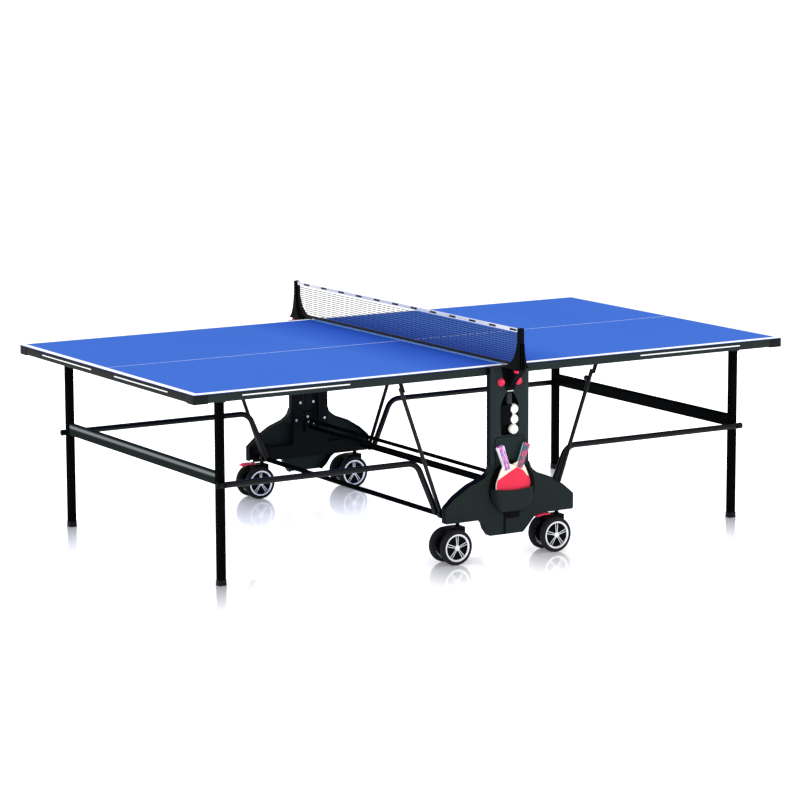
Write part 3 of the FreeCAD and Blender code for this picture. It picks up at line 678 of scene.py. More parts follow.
def rail_section(face, inner):
    """The rail's section, from its outer face to its inner one, as (across, height, corner radius)."""
    way = 1 if face > inner else -1
    return rounded([
        (face, RAIL_TOP, 0), (face, 0.7536, 0.0005), (face - way * 0.0012, 0.7532, 0.0003),
        (face - way * 0.0012, 0.7508, 0.0003), (face, 0.7504, 0.0005), (face, 0.7262, 0.0006),
        (face - way * 0.0012, 0.7254, 0.0006), (face - way * 0.0014, RAIL_LOW, 0.0022),
        (inner, RAIL_LOW, 0.003), (inner, RAIL_TOP, 0)], steps=3)


for side_name, side in SIDES:
    low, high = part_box(f"side_rails_{side_name}")
    mesh = bmesh.new()
    for row in (-1, 1):
        prism(mesh, rail_section(row * high.y, row * (high.y - RAIL_DEPTH)), low.x, high.x, "X")
    finished(f"apron_long_{side_name}", mesh, f"half_{side_name}", APRON_GREY,
             [f"side_rails_{side_name}"])
    low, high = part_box(f"outer_rail_{side_name}")
    face, inner = (low.x, high.x) if side < 0 else (high.x, low.x)
    mesh = bmesh.new()
    prism(mesh, rail_section(face, inner), low.y, high.y, "Y")
    finished(f"apron_end_{side_name}", mesh, f"half_{side_name}", APRON_GREY,
             [f"outer_rail_{side_name}"])

# %% [markdown]
# ## Corner guards
# A guard is a plastic box that covers the sharp meeting of two rails, with a narrow seam where its walls
# join. A cube with a bevel would round all its corners alike. Drawn as an outline, the outer corner can
# have a larger radius than the ones that meet the rails.

# %% Corner guards
for side_name, side in SIDES:
    low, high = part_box(f"corner_guards_{side_name}")
    mesh = bmesh.new()
    for row in (-1, 1):
        x0, x1 = (low.x, high.x) if side > 0 else (high.x, low.x)
        y0, y1 = row * (high.y - 0.06), row * high.y
        outline = rounded([(x0, y0, 0.001), (x1, y0, 0.001), (x1, y1, 0.004), (x0, y1, 0.001)], 6)
        prism(mesh, outline, low.z, high.z - 0.0004, "Z", bevel=0.0015, segments=3)
        seam = x1 - side * 0.0385
        slab(mesh, (seam - 0.0007, min(y1, y1 - row * 0.004), low.z + 0.001),
             (seam + 0.0007, max(y1 + row * 0.0003, y1 - row * 0.004), high.z - 0.0012), 0, paint=1)
    finished(f"corner_caps_{side_name}", mesh, f"half_{side_name}", [GUARD_BLACK, DEEP_BLACK],
             [f"corner_guards_{side_name}"])

# %% [markdown]
# ## Feet and caps
# Square tubes end in ribbed rubber plugs, and the long link tubes end in a domed cap beside each leg. The
# plug is a stack of three short prisms round a narrower core, which leaves real grooves between the ribs.
# The cap is round, so it is turned from half a section.

# %% Feet and caps
for side_name, side in SIDES:
    low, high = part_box(f"leg_feet_{side_name}")
    leg_x = (low.x + high.x) / 2
    mesh = bmesh.new()
    for row in (-1, 1):
        y = row * (high.y - 0.016)
        for z0, z1, half in ((0.0, 0.009, 0.0163), (0.0095, 0.0185, 0.0158), (0.019, 0.0215, 0.0163)):
            prism(mesh, box_outline(leg_x - half, leg_x + half, y - half, y + half, 0.005),
                  z0, z1, "Z", bevel=0.0012)
        prism(mesh, box_outline(leg_x - 0.0132, leg_x + 0.0132, y - 0.0132, y + 0.0132, 0.004),
              0.004, 0.0208, "Z")
    finished(f"foot_plugs_{side_name}", mesh, f"leg_frame_{side_name}", FOOT_BLACK,
             [f"leg_feet_{side_name}"])

    low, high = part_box(f"link_caps_{side_name}")
    start, stop = (high.x, low.x) if side < 0 else (low.x, high.x)
    mesh = bmesh.new()
    for row in (-1, 1):
        radius = (high.z - low.z) / 2
        y = row * (high.y - radius)
        length = abs(stop - start)
        profile = [(0, 0), (radius * 0.985, 0), (radius, 0.0006), (radius, length * 0.45),
                   (radius * 0.945, length * 0.72), (radius * 0.77, length * 0.9),
                   (radius * 0.45, length * 0.98), (0, length)]
        turned(mesh, [(r, side * h) for r, h in profile], (start, y, (low.z + high.z) / 2), "X", 32)
    finished(f"tube_caps_{side_name}", mesh, f"link_frame_{side_name}", DEEP_BLACK,
             [f"link_caps_{side_name}"])

# %% [markdown]
# ## Bolts
# The pivots are bolts with a washer and a domed, socketed head. Head, socket and washer share one axis, so
# a single section spun round it makes all three. The thread stays out of sight and is left out.

# %% Bolts
PIVOT_Z = 0.390
LEG_HINGE_Z = 0.716


def bolt(mesh, centre, axis, way, radius=0.0065, washer=0.0095, height=0.0053):
    """A washer with a domed, socketed bolt head on it."""
    profile = [(0, 0), (washer, 0), (washer, 0.23), (radius, 0.26), (radius, 0.64), (radius * 0.8, 0.9),
               (radius * 0.5, 1), (radius * 0.45, 0.72), (0, 0.68)]
    turned(mesh, [(r, way * height * h) for r, h in profile], centre, axis, 24)


for side_name, side in SIDES:
    low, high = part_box(f"link_tubes_{side_name}")
    leg_low, leg_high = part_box(f"legs_{side_name}")
    x = (leg_low.x + leg_high.x) / 2
    mesh = bmesh.new()
    for row in (-1, 1):
        bolt(mesh, (x, row * high.y, PIVOT_Z), "Y", row)
    finished(f"link_bolts_{side_name}", mesh, f"link_frame_{side_name}", STEEL_BLACK)
    mesh = bmesh.new()
    for row in (-1, 1):
        for z in (PIVOT_Z, LEG_HINGE_Z):
            bolt(mesh, (x, row * (leg_high.y - (leg_high.x - leg_low.x)), z), "Y", -row)
    finished(f"leg_bolts_{side_name}", mesh, f"leg_frame_{side_name}", STEEL_BLACK)

# %% [markdown]
# ## Column covers
# Each end of the carriage hides behind two mouldings, and the upper one is a tall column with the ball
# store in its face. A solid block would have no depth behind the opening. The column is built as the thin
# shell it is: a plate with holes for the front, walls at the sides and a lining in the store.

# %% Column covers
COLUMN_FACE = 0.8005
COLUMN_BACK = 0.7725
SKIN = 0.003
STORE = rounded([(-0.041, 0.486, 0.012), (0.041, 0.486, 0.012), (0.041, 0.612, 0.03),
                 (0.017, 0.655, 0.018), (-0.017, 0.655, 0.018), (-0.041, 0.612, 0.03)], 8)

for row_name, row in ROWS:
    low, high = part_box(f"{row_name}_column_cover")
    front = row * COLUMN_FACE
    back = row * COLUMN_BACK
    mesh = bmesh.new()
    outline = box_outline(low.x, high.x, low.z, high.z, 0.004)
    holes = [STORE, *(disc_outline(side * 0.04, 0.697, 0.0125) for _, side in SIDES)]
    plate(mesh, outline, holes, front, front - row * SKIN, bevel=0.0012)
    # the side walls and the top take the deep black: painted shade on faces turned from the light
    for _, side in SIDES:
        wall = [(side * 0.089, front - row * 0.002), (side * 0.089, back), (side * 0.086, back),
                (side * 0.086, front - row * 0.002)]
        prism(mesh, wall, low.z + 0.001, high.z - 0.001, "Z", paint=1)
    slab(mesh, (-0.088, min(front - row * 0.002, back), high.z - 0.0035),
         (0.088, max(front - row * 0.002, back), high.z - 0.0006), 0.0008, paint=1)
    # lining of the ball store, in deep black as painted shade inside the store
    grown = [(u * 1.04, 0.568 + (v - 0.568) * 1.022) for u, v in STORE]
    plate(mesh, grown, [STORE], front - row * 0.0028, back + row * 0.004, paint=1)
    floor_low, floor_high = sorted((back + row * 0.0045, back + row * 0.002))
    prism(mesh, grown, floor_low, floor_high, "Y", paint=1)
    finished(f"{row_name}_column_shell", mesh, "carriage", [COVER_BLACK_LIT, DEEP_BLACK],
             [f"{row_name}_column_cover"])

# %% [markdown]
# ## Ball store fittings
# A thin strip keeps the balls from rolling out, with a latch behind it and a small bright catch above.
# They are flat, simple parts, so a slab with rounded edges is enough for each. One mesh with three
# finishes keeps them together as a single piece.

# %% Ball store fittings
mesh = bmesh.new()
for row in (-1, 1):
    face = row * 0.8008
    # retaining strip over the left part of the store
    low_y, high_y = sorted((face - row * 0.001, face + row * 0.0022))
    slab(mesh, (-0.0405, low_y, 0.528), (0.0105, high_y, 0.606), 0.001)
    # latch inside the store
    low_y, high_y = sorted((face - row * 0.02, face - row * 0.003))
    slab(mesh, (-0.009, low_y, 0.606), (0.012, high_y, 0.651), 0.002, paint=1)
    # bright catch above the store
    low_y, high_y = sorted((face, face + row * 0.003))
    slab(mesh, (-0.013, low_y, 0.6585), (0.015, high_y, 0.6625), 0.0008, paint=2)
finished("store_fittings", mesh, "carriage", [DEEP_BLACK, FRAME_GREY, ZINC], ())

# %% [markdown]
# ## Shrouds
# The lower moulding is a broad shroud over the casters: a long curved back on each side of the neck, and a
# skid below. A solid prism would hide the wheels. Its outline is drawn out and rounded first, then the back
# and the openings over the wheels are taken away, and what is left gets the wall of a moulding.

# %% Shrouds
NECK = 0.0968
SHROUD_BACK = 0.7726
SHROUD_FACE = 0.8064
BACK_RIM = 0.006
SKID_JOINT = 0.162


def shroud_outline():
    """The shroud seen from the front: a long curved back on each side of the neck, and a skid below."""
    right = [(NECK, 0.3500, 0.0), (0.101, 0.343, 0.02), (0.126, 0.3255, 0.03), (0.190, 0.302, 0.12),
             (0.252, 0.264, 0.12), (0.2995, 0.224, 0.012), (0.2995, 0.1605, 0.005)]
    left = [(-u, v, radius) for u, v, radius in reversed(right)]
    skid = [(0.122, 0.1605, 0.06), (0.084, 0.116, 0.04), (0.060, 0.0925, 0.008), (-0.0965, 0.0925, 0.008),
            (-0.114, 0.120, 0.03), (-0.132, 0.1605, 0.04)]
    return rounded(right + skid + left, 8)


def shell_from(mesh, drop, thickness):
    """Takes away the faces that drop() picks and gives the rest a wall."""
    gone = [face for face in mesh.faces if drop(face)]
    bmesh.ops.delete(mesh, geom=gone, context="FACES")
    bmesh.ops.recalc_face_normals(mesh, faces=mesh.faces[:])
    bmesh.ops.solidify(mesh, geom=mesh.faces[:], thickness=thickness)


def open_face(face):
    """True for the shroud's back and for the undersides that open over the wheels."""
    behind = all(abs(vert.co.y) < SHROUD_BACK + BACK_RIM for vert in face.verts)
    under = abs(face.normal.z) > 0.9 and face.calc_center_median().z < SKID_JOINT
    return behind or under


for row_name, row in ROWS:
    mesh = bmesh.new()
    prism(mesh, shroud_outline(), *span(row, SHROUD_BACK, SHROUD_FACE), "Y", bevel=0.005, segments=4)
    shell_from(mesh, open_face, 0.0028)
    # faces turned sideways take the deep black: painted shade on the side walls
    for face in mesh.faces:
        face.material_index = int(abs(face.normal.y) < 0.35)
    finished(f"{row_name}_shroud_shell", mesh, "carriage", [SHROUD_BLACK, DEEP_BLACK],
             [f"{row_name}_shroud"])

# %% [markdown]
# ## Cheeks, arch and bumper
# Small raised parts break up the shroud's broad face: two curved cheeks that hold the column, an arched
# border behind the bats, a thin dark disc that is painted shadow round the bats, and a rubber strip with a
# pad down the skid. The cheeks, border and strip could be painted, but each throws a real edge of shadow.
# All are low prisms on the same face.

# %% Cheeks, arch and bumper
TRIM_ROOT = 0.8055
mesh = bmesh.new()
for row in (-1, 1):
    # the column's front slides into the shroud between two curved cheeks
    for side in (-1, 1):
        cheek = [(side * 0.0875, 0.376, 0.004), (side * 0.0925, 0.366, 0.02), (side * 0.0975, 0.351, 0.03),
                 (side * 0.110, 0.336, 0.02), (side * 0.124, 0.322, 0.01), (side * 0.093, 0.306, 0.01),
                 (side * 0.0875, 0.342, 0.01)]
        prism(mesh, rounded(cheek, 6), *span(row, 0.776, TRIM_ROOT), "Y", bevel=0.004, segments=3)
    # raised border of the recess behind the bats
    arch = [(-0.069, 0.30, 0.0), (-0.069, 0.481, 0.016), (0.067, 0.481, 0.016), (0.067, 0.30, 0.0)]
    inner_arch = [(-0.0665, 0.30, 0.0), (-0.0665, 0.4785, 0.0135), (0.0645, 0.4785, 0.0135),
                  (0.0645, 0.30, 0.0)]
    ring = rounded(arch, 6) + list(reversed(rounded(inner_arch, 6)))
    prism(mesh, ring, *span(row, 0.7998, 0.8015), "Y", bevel=0.0004, paint=1)
    # a thin dark disc round the bats: painted shadow of the recess
    painted_shadow_disc = disc_outline(0.006, 0.276, 0.108, 64)
    prism(mesh, painted_shadow_disc, *span(row, TRIM_ROOT, 0.8069), "Y", bevel=0.0005, paint=1)
    # bumper strip down the skid, and the small pad on it
    strip = rounded([(-0.031, 0.092, 0.003), (-0.0235, 0.092, 0.003), (-0.0235, 0.186, 0.001),
                     (-0.031, 0.186, 0.001)])
    prism(mesh, strip, *span(row, TRIM_ROOT, 0.8095), "Y", bevel=0.0012, paint=1)
    pad = box_outline(-0.030, 0.041, 0.155, 0.189, 0.004)
    prism(mesh, pad, *span(row, TRIM_ROOT, 0.8100), "Y", bevel=0.0015, paint=1)
finished("shroud_trim", mesh, "carriage", [SHROUD_BLACK, DEEP_BLACK], ())

# %% [markdown]
# ## Bat pockets
# A pocket is a bowl: deepest in the middle of its rim and drawn in towards its foot. No prism or turned
# shape gives that bulge. A grid of points does: each row narrows and each point stands out by a smooth
# curve, and a wall then turns the sheet into a moulding.

# %% Pockets
POCKET_RIM = 0.280
POCKET_FOOT = 0.180
POCKET_WALL = 0.8062
POCKET_HALF = 0.0918
POCKET_BELLY = 0.0400


def pocket(mesh, row):
    """A bulged, open-topped bowl on the shroud's face."""
    across, down = 40, 18
    grid = []
    for j in range(down + 1):
        t = j / down
        line = []
        for i in range(across + 1):
            s = 2 * i / across - 1
            rim = POCKET_RIM - 0.006 * cos(s * pi / 2) ** 2
            z = rim + (POCKET_FOOT - rim) * t
            half = POCKET_HALF * sqrt(1 - (t * 0.93) ** 3.4)
            edge = (1 - abs(s) ** 14) ** 0.5
            belly = POCKET_BELLY * (1 - t ** 5) ** 0.5
            line.append(mesh.verts.new((s * half, row * (POCKET_WALL + edge * belly), z)))
        grid.append(line)
    for j in range(down):
        for i in range(across):
            mesh.faces.new((grid[j][i], grid[j][i + 1], grid[j + 1][i + 1], grid[j + 1][i]))
    bmesh.ops.remove_doubles(mesh, verts=mesh.verts[:], dist=1e-5)


mesh = bmesh.new()
for row in (-1, 1):
    bowl = bmesh.new()
    pocket(bowl, row)
    bmesh.ops.recalc_face_normals(bowl, faces=bowl.faces[:])
    facing = sum(face.normal.y * face.calc_area() for face in bowl.faces) * row
    if facing < 0:
        bmesh.ops.reverse_faces(bowl, faces=bowl.faces[:])
    bmesh.ops.solidify(bowl, geom=bowl.faces[:], thickness=0.0026)
    rim_edges = [edge for edge in bowl.edges if edge.is_boundary]
    print("pocket rim edges left open:", len(rim_edges))
    data = bpy.data.meshes.new("bowl")
    bowl.to_mesh(data)
    bowl.free()
    mesh.from_mesh(data)
    bpy.data.meshes.remove(data)
finished("pocket_bowls", mesh, "carriage", SHROUD_BLACK, ["bat_pockets"], 50)

# %% [markdown]
# ## Bat finishes
# A blade is plywood, so its edge shows plies and its face a long grain. The rubber is a red sheet whose
# pimples point inwards and only dimple its shine. The grips are printed in streaks of colour: a noise that
# is stretched along the handle runs through a ramp with flat bands, which looks printed rather than
# blended.

# %% Bat finishes


def plywood():
    """Pale wood: grain along the handle, and thin plies through the thickness."""
    finish = Finish("bat_plywood", specular_ior_level=0.2)
    here, (x, y, z) = finish.place()
    plies = (y * 900).maths("SINE", y * 5200)
    long_grain = finish.add("TexNoise", {}, {"Vector": finish.add("Mapping", {}, {
        "Vector": here, "Scale": (240, 60, 24)}), "Scale": 1.0, "Detail": 4.0})
    finish.set("Base Color", finish.blend(long_grain * 0.7 + (plies > 0.2) * 0.3,
                                          shade(236, 214, 194), shade(250, 240, 228)))
    finish.set("Roughness", 0.42 + long_grain * 0.16)
    return finish.bumps(long_grain, 0.15, 0.0002).material


def bat_rubber():
    """Red sheet with its pimples turned in, which show as a faint dimpled shine."""
    finish = Finish("bat_rubber_red", specular_ior_level=0.15)
    here = finish.place()[0]
    pimples = finish.add("TexVoronoi", {"feature": "SMOOTH_F1"}, {"Vector": here, "Scale": 480.0})
    marks = finish.noise(14, 4)
    finish.set("Base Color", finish.blend(marks, shade(206, 32, 60), shade(224, 48, 78)))
    finish.set("Roughness", 0.42 + marks * 0.14)
    return finish.bumps(pimples, 0.08, 0.0003).material


def grip_finish(name, lean, streak, colours):
    """Printed grip: streaks of colour, with a pale edge; streak gives their fineness across and along."""
    finish = Finish(name, specular_ior_level=0.3, coat_weight=0.3, coat_roughness=0.15)
    x, y, z = finish.place()[1]
    along = x * (lean * sin(BAT_LEAN)) + z * cos(BAT_LEAN)
    across = x * cos(BAT_LEAN) - z * (lean * sin(BAT_LEAN))
    centre_line = lean * (BAT_SHIFT * cos(BAT_LEAN) - BAT_Z * sin(BAT_LEAN))
    offset = across - centre_line
    where = finish.add("CombineXYZ", {}, {0: offset * streak[0], 1: y * 40, 2: along * streak[1]})
    print_wave = finish.add("TexNoise", {}, {"Vector": where, "Scale": 1.0, "Detail": 2.0})
    bands = [(number / len(colours), colour) for number, colour in enumerate(colours)]
    ramp = finish.add("ValToRGB", {"stops": bands}, {"Fac": (print_wave - 0.28) * 2.3})
    finish.set("Base Color", finish.blend(abs(offset) > 0.0116, ramp, colours[0]))
    finish.set("Roughness", 0.3 + print_wave * 0.1)
    return finish.bumps(finish.noise(900), 0.1, 0.0002).material


BAT_LEAN = radians(20)
BAT_SHIFT = 0.008
BAT_Z = 0.288
PLYWOOD = plywood()
BAT_RED = bat_rubber()
FRONT_GRIP = grip_finish("front_grip_print", -1, (230, 16), [
    shade(246, 240, 246), shade(232, 120, 178), shade(128, 76, 168),
    shade(58, 74, 172), shade(238, 170, 212), shade(92, 58, 150)])
BACK_GRIP = grip_finish("back_grip_print", 1, (60, 60), [
    shade(38, 96, 112), shade(30, 72, 90), shade(226, 40, 110), shade(38, 96, 112)])

# %% [markdown]
# ## Bats
# A bat is three layers: a plywood blade and a rubber sheet on each face. The rubber stops short of the
# handle along a straight cut, so the pale wood shows at the throat, and the handle is two flared grips. It
# is drawn upright about the middle of its blade, where every number is easy to check, and leaned over at
# the end.

# %% Bat shapes
BLADE = 0.0755
HALF_PLY = 0.0029


def bat(name, y, lean, grip, cut):
    """One bat, drawn upright about its blade's centre and then leaned over; cut gives the rubber's ends."""
    def arc(radius, start, stop):
        return [(radius * sin(radians(v)), -radius * cos(radians(v))) for v in range(start, stop + 1, 4)]

    throat = [(0.0300, 0.0790), (0.0180, 0.0880), (0.0135, 0.0960)]
    wood = arc(BLADE, -143, 143) + throat + [(-u, v) for u, v in reversed(throat)]
    mesh = bmesh.new()
    prism(mesh, wood, -HALF_PLY, HALF_PLY, "Y", bevel=0.0007, paint=0)
    for way in (-1, 1):
        prism(mesh, arc(BLADE - 0.0007, *cut), *span(way, 0.003, 0.0050), "Y", bevel=0.0005, paint=1)
        half_grip = [(0.0108, 0.072, 0), (0.0122, 0.088, 0), (0.0125, 0.116, 0), (0.0132, 0.147, 0),
                     (0.0146, 0.166, 0), (0.0146, 0.1725, 0.004)]
        outline = rounded(half_grip + [(-u, v, r) for u, v, r in reversed(half_grip)], 4)
        prism(mesh, outline, *span(way, 0.0028, 0.0088), "Y", bevel=0.0028, segments=4, paint=2)
    core = [(0.0118, 0.09), (0.0136, 0.170), (-0.0136, 0.170), (-0.0118, 0.09)]
    prism(mesh, core, -HALF_PLY, HALF_PLY, "Y", bevel=0.0005, paint=0)
    stand = Matrix.Translation((lean * BAT_SHIFT, y, BAT_Z)) @ Matrix.Rotation(lean * BAT_LEAN, 4, "Y")
    bmesh.ops.transform(mesh, matrix=stand, verts=mesh.verts[:])
    finished(f"{name}_visual", mesh, name, [PLYWOOD, BAT_RED, grip], [name])


bat("front_bat", -0.832, -1, FRONT_GRIP, (-133, 147))
bat("back_bat", -0.8175, 1, BACK_GRIP, (-134, 134))

# %% [markdown]
# ## Balls
# A ball is two thin halves welded round its middle. A ready-made sphere would be perfectly plain; turning a
# half circle instead lets one point sink by a tenth of a millimetre, and that is the seam.

# %% Balls


def celluloid():
    """White ball plastic with faint scuffs."""
    finish = Finish("ball_celluloid", specular_ior_level=0.5)
    fine = finish.noise(500, 3)
    scuffs = finish.noise(40, 4)
    finish.set("Base Color", finish.blend(scuffs, shade(236, 236, 232), shade(250, 250, 248)))
    finish.set("Roughness", 0.42 + fine * 0.14)
    return finish.bumps(fine, 0.12, 0.0002).material


BALL_WHITE = celluloid()
BALL_RADIUS = 0.0199
BALL_PITCH = 0.0402
SEAM = 12
low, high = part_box("balls")
mesh = bmesh.new()
for number in range(3):
    centre = ((low.x + high.x) / 2, (low.y + high.y) / 2, low.z + 0.020 + number * BALL_PITCH)
    arc = [(BALL_RADIUS * sin(pi * k / 24), -BALL_RADIUS * cos(pi * k / 24)) for k in range(25)]
    arc = [(max(0.0, r), h) for r, h in arc]
    arc[0], arc[-1] = (0, arc[0][1]), (0, arc[-1][1])
    seam = [(r - (0.00012 if k == SEAM else 0), h) for k, (r, h) in enumerate(arc)]
    turned(mesh, seam, centre, "Z", 48)
finished("ball_trio", mesh, "carriage", BALL_WHITE, ["balls"], 60)

# %% [markdown]
# ## Buttons
# Two red buttons on each column release the fold. They are round with a dished top, and each stands in a
# flat collar. Both come from half a section. The button's place and height are read from the frame, so it
# sits in the middle of its hole in the column.

# %% Buttons
for row_name, row in ROWS:
    for side_name, side in SIDES:
        node_name = f"{row_name}_button_{side_name}"
        low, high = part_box(node_name)
        tip = high.y if row > 0 else low.y
        root = low.y if row > 0 else high.y
        centre = ((low.x + high.x) / 2, root, (low.z + high.z) / 2)
        reach = abs(tip - root)
        mesh = bmesh.new()
        profile = [(0, 0), (0.0115, 0), (0.0118, reach - 0.0016), (0.0113, reach - 0.0006), (0.0104, reach),
                   (0.0094, reach - 0.0004), (0.0070, reach - 0.0018), (0.0035, reach - 0.0026),
                   (0, reach - 0.0029)]
        turned(mesh, [(r, row * h) for r, h in profile], centre, "Y", 40)
        finished(f"{node_name}_cap", mesh, node_name, SIGNAL_RED, [node_name])
mesh = bmesh.new()
for row in (-1, 1):
    for _, side in SIDES:
        ring = [(0.0126, 0), (0.0158, 0), (0.0158, 0.0022), (0.0146, 0.0036), (0.0132, 0.0036),
                (0.0126, 0.0028), (0.0126, 0)]
        turned(mesh, [(r, row * h) for r, h in ring], (side * 0.04, row * 0.8003, 0.697), "Y", 40)
finished("button_collars", mesh, "carriage", SIGNAL_RED, ())

# %% [markdown]
# ## Pedals
# One caster of each pair carries a red brake pedal: a slightly arched plate with ribs for the shoe and a
# rolled hinge. The arch is a curve of thirteen points with the same points again below it, which makes one
# outline that can be drawn out across the pedal.

# %% Pedals
for row_name, row, side_name in (("near", -1, "right"), ("far", 1, "left")):
    node_name = f"{row_name}_pedal_{side_name}"
    low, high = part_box(node_name)
    hinge_x = high.x - 0.004
    top = []
    for k in range(13):
        t = k / 12
        x = hinge_x + (low.x - hinge_x) * t
        top.append((x, 0.1515 + 0.0030 * sin(pi * min(1, t * 1.15)) - 0.0035 * t * t))
    under = [(x, z - 0.0042) for x, z in reversed(top)]
    mesh = bmesh.new()
    prism(mesh, top + under, low.y + 0.0005, high.y - 0.0005, "Y", bevel=0.0012, segments=3)
    for k in range(4):
        x = low.x + 0.008 + k * 0.007
        slab(mesh, (x, low.y + 0.005, 0.1500), (x + 0.0025, high.y - 0.005, 0.1545), 0.0007)
    hinge = (hinge_x, (low.y + high.y) / 2 - 0.014, 0.151)
    turned(mesh, [(0, 0), (0.0040, 0), (0.0040, 0.028), (0, 0.028)], hinge, "Y", 24)
    finished(f"{node_name}_plate", mesh, node_name, SIGNAL_RED, [node_name])

# %% [markdown]
# ## Spokes
# A rim has five pairs of spokes that spread from the hub cap to the rim. A picture of spokes would stay
# flat when the wheel turns, so each is a small solid: eight corners and six faces, placed by the angle of
# its pair, with the edges rounded as on a moulding.

# %% Spokes


def spoke(mesh, centre, way, angle, offset):
    """One spoke of a pair, from the hub cap to the rim."""
    half = 0.0015
    along = Vector((cos(angle), 0, sin(angle)))
    across = Vector((-sin(angle), 0, cos(angle)))
    corners = []
    for reach, lift, spread in ((0.0095, 0.0105, offset * 0.45), (0.0478, 0.0090, offset)):
        for turn in (-1, 1):
            foot = Vector(centre) + along * reach + across * (spread + turn * half)
            corners.append((foot + Vector((0, way * 0.0055, 0)), foot + Vector((0, way * lift, 0))))
    verts = [[mesh.verts.new(p) for p in pair] for pair in corners]
    (a0, a1), (b0, b1), (c0, c1), (d0, d1) = verts
    faces = [mesh.faces.new(quad) for quad in (
        (a0, b0, d0, c0), (a1, c1, d1, b1), (a0, c0, c1, a1),
        (b0, b1, d1, d0), (a0, a1, b1, b0), (c0, d0, d1, c1))]
    for face in faces:
        face.material_index = 1
    soften(mesh, list({edge for face in faces for edge in face.edges}), 0.0005)


# %% [markdown]
# ## Wheels
# Each caster has two wheels. The tyre is rubber with a shallow tread, pressed onto a silver rim, and the
# gaps between the spokes show the dark inside. Tyre, rim, dish and cap are all round, so four half
# sections turned on one axis build them, each with its own finish.

# %% Wheels
HALF_TYRE = 0.013


def wheel(mesh, centre, way):
    """Tyre, rim, dark dish, ten spokes and the cap over the axle."""
    tyre = [(0.0540, -0.0118), (0.0560, -0.0128), (0.0625, -0.0130), (0.0668, -0.0112), (0.0690, -0.0080),
            (0.0699, -0.0040), (0.0699, -0.0030), (0.0691, -0.0026), (0.0691, -0.0016), (0.0700, -0.0012),
            (0.0700, 0.0012), (0.0691, 0.0016), (0.0691, 0.0026), (0.0699, 0.0030), (0.0699, 0.0040),
            (0.0690, 0.0080), (0.0668, 0.0112), (0.0625, 0.0130), (0.0560, 0.0128), (0.0540, 0.0118),
            (0.0540, -0.0118)]
    turned(mesh, [(r, way * h) for r, h in tyre], centre, "Y", 72, paint=0)
    rim = [(0.0465, 0.0040), (0.0465, 0.0092), (0.0478, 0.0112), (0.0500, 0.0121), (0.0528, 0.0125),
           (0.0545, 0.0122), (0.0545, -0.0110), (0.0465, -0.0110), (0.0465, 0.0040)]
    turned(mesh, [(r, way * h) for r, h in rim], centre, "Y", 72, paint=1)
    dish = [(0, -0.0100), (0.0466, -0.0100), (0.0466, 0.0030), (0.0440, 0.0038), (0.0120, 0.0042),
            (0, 0.0042)]
    turned(mesh, [(r, way * h) for r, h in dish], centre, "Y", 48, paint=2)
    cap = [(0, 0.0040), (0.0118, 0.0040), (0.0118, 0.0106), (0.0104, 0.0122), (0.0060, 0.0127),
           (0.0052, 0.0120), (0, 0.0119)]
    turned(mesh, [(r, way * h) for r, h in cap], centre, "Y", 32, paint=1)
    for arm in range(5):
        for offset in (-0.0052, 0.0052):
            spoke(mesh, centre, way, tau * arm / 5 + pi / 2, offset)


for row_name, row in ROWS:
    for side_name, side in SIDES:
        node_name = f"{row_name}_wheels_{side_name}"
        low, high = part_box(node_name)
        x, z = (low.x + high.x) / 2, (low.z + high.z) / 2
        mesh = bmesh.new()
        for y, way in ((low.y + HALF_TYRE, -1), (high.y - HALF_TYRE, 1)):
            wheel(mesh, (x, y, z), way)
        length = high.y - low.y - 0.030
        axle = [(0, 0), (0.005, 0), (0.005, length), (0, length)]
        turned(mesh, axle, (x, low.y + 0.015, z), "Y", 20, paint=3)
        finished(f"{node_name}_pair", mesh, node_name, [TYRE_BLACK, RIM_SILVER, DEEP_BLACK, ZINC],
                 [node_name], 40)

# %% [markdown]
# ## Net
# The net is a grid of black cords, knotted where they cross. A see-through picture on a flat sheet would
# be lighter, but it has no thickness and fails at a low angle. Here every cord is a thin six-sided bar and
# every knot a tiny ball, all in one mesh.

# %% Net cords
low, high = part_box("net_mesh")
HALF_NET = high.y
COLUMNS = 172
LINES = 13
UPRIGHT_RADIUS = 0.0008
LEVEL_RADIUS = 0.0016
KNOT_RADIUS = 0.0017
CORD_SIDES = 6
UPRIGHTS = [-HALF_NET + 0.001 + (2 * HALF_NET - 0.002) * k / COLUMNS for k in range(COLUMNS + 1)]
LEVELS = [low.z + (high.z - low.z) * k / (LINES + 1) for k in range(1, LINES + 1)]

mesh = bmesh.new()
for y in UPRIGHTS:
    tube(mesh, [(0, y, low.z - 0.001), (0, y, high.z + 0.001)], UPRIGHT_RADIUS, CORD_SIDES)
for z in LEVELS:
    tube(mesh, [(0, -HALF_NET + 0.0005, z), (0, HALF_NET - 0.0005, z)], LEVEL_RADIUS, CORD_SIDES)
for y in UPRIGHTS:
    for z in LEVELS:
        bmesh.ops.create_icosphere(mesh, subdivisions=1, radius=KNOT_RADIUS,
                                   matrix=Matrix.Translation((0, y, z)))
print("knots in the net:", len(UPRIGHTS) * len(LEVELS))


def net_cord_finish():
    """Twisted black cord."""
    finish = Finish("net_cord", specular_ior_level=0.3)
    twist = finish.noise(1500, 2)
    finish.set("Base Color", finish.blend(twist, shade(16, 17, 20), shade(34, 36, 42)))
    finish.set("Roughness", 0.62 + twist * 0.2)
    return finish.bumps(twist, 0.3, 0.0003).material


net_cords = finished("net_cords", mesh, "carriage", net_cord_finish(), ["net_mesh"], 20)

# %% [markdown]
# ## Tape, band and top cord
# A woven tape folds over the cord that carries the net, and a dark band holds its foot. The fold is real:
# the section is an outer arch and an inner one, drawn out across the table.

# %% Tape, band and top cord


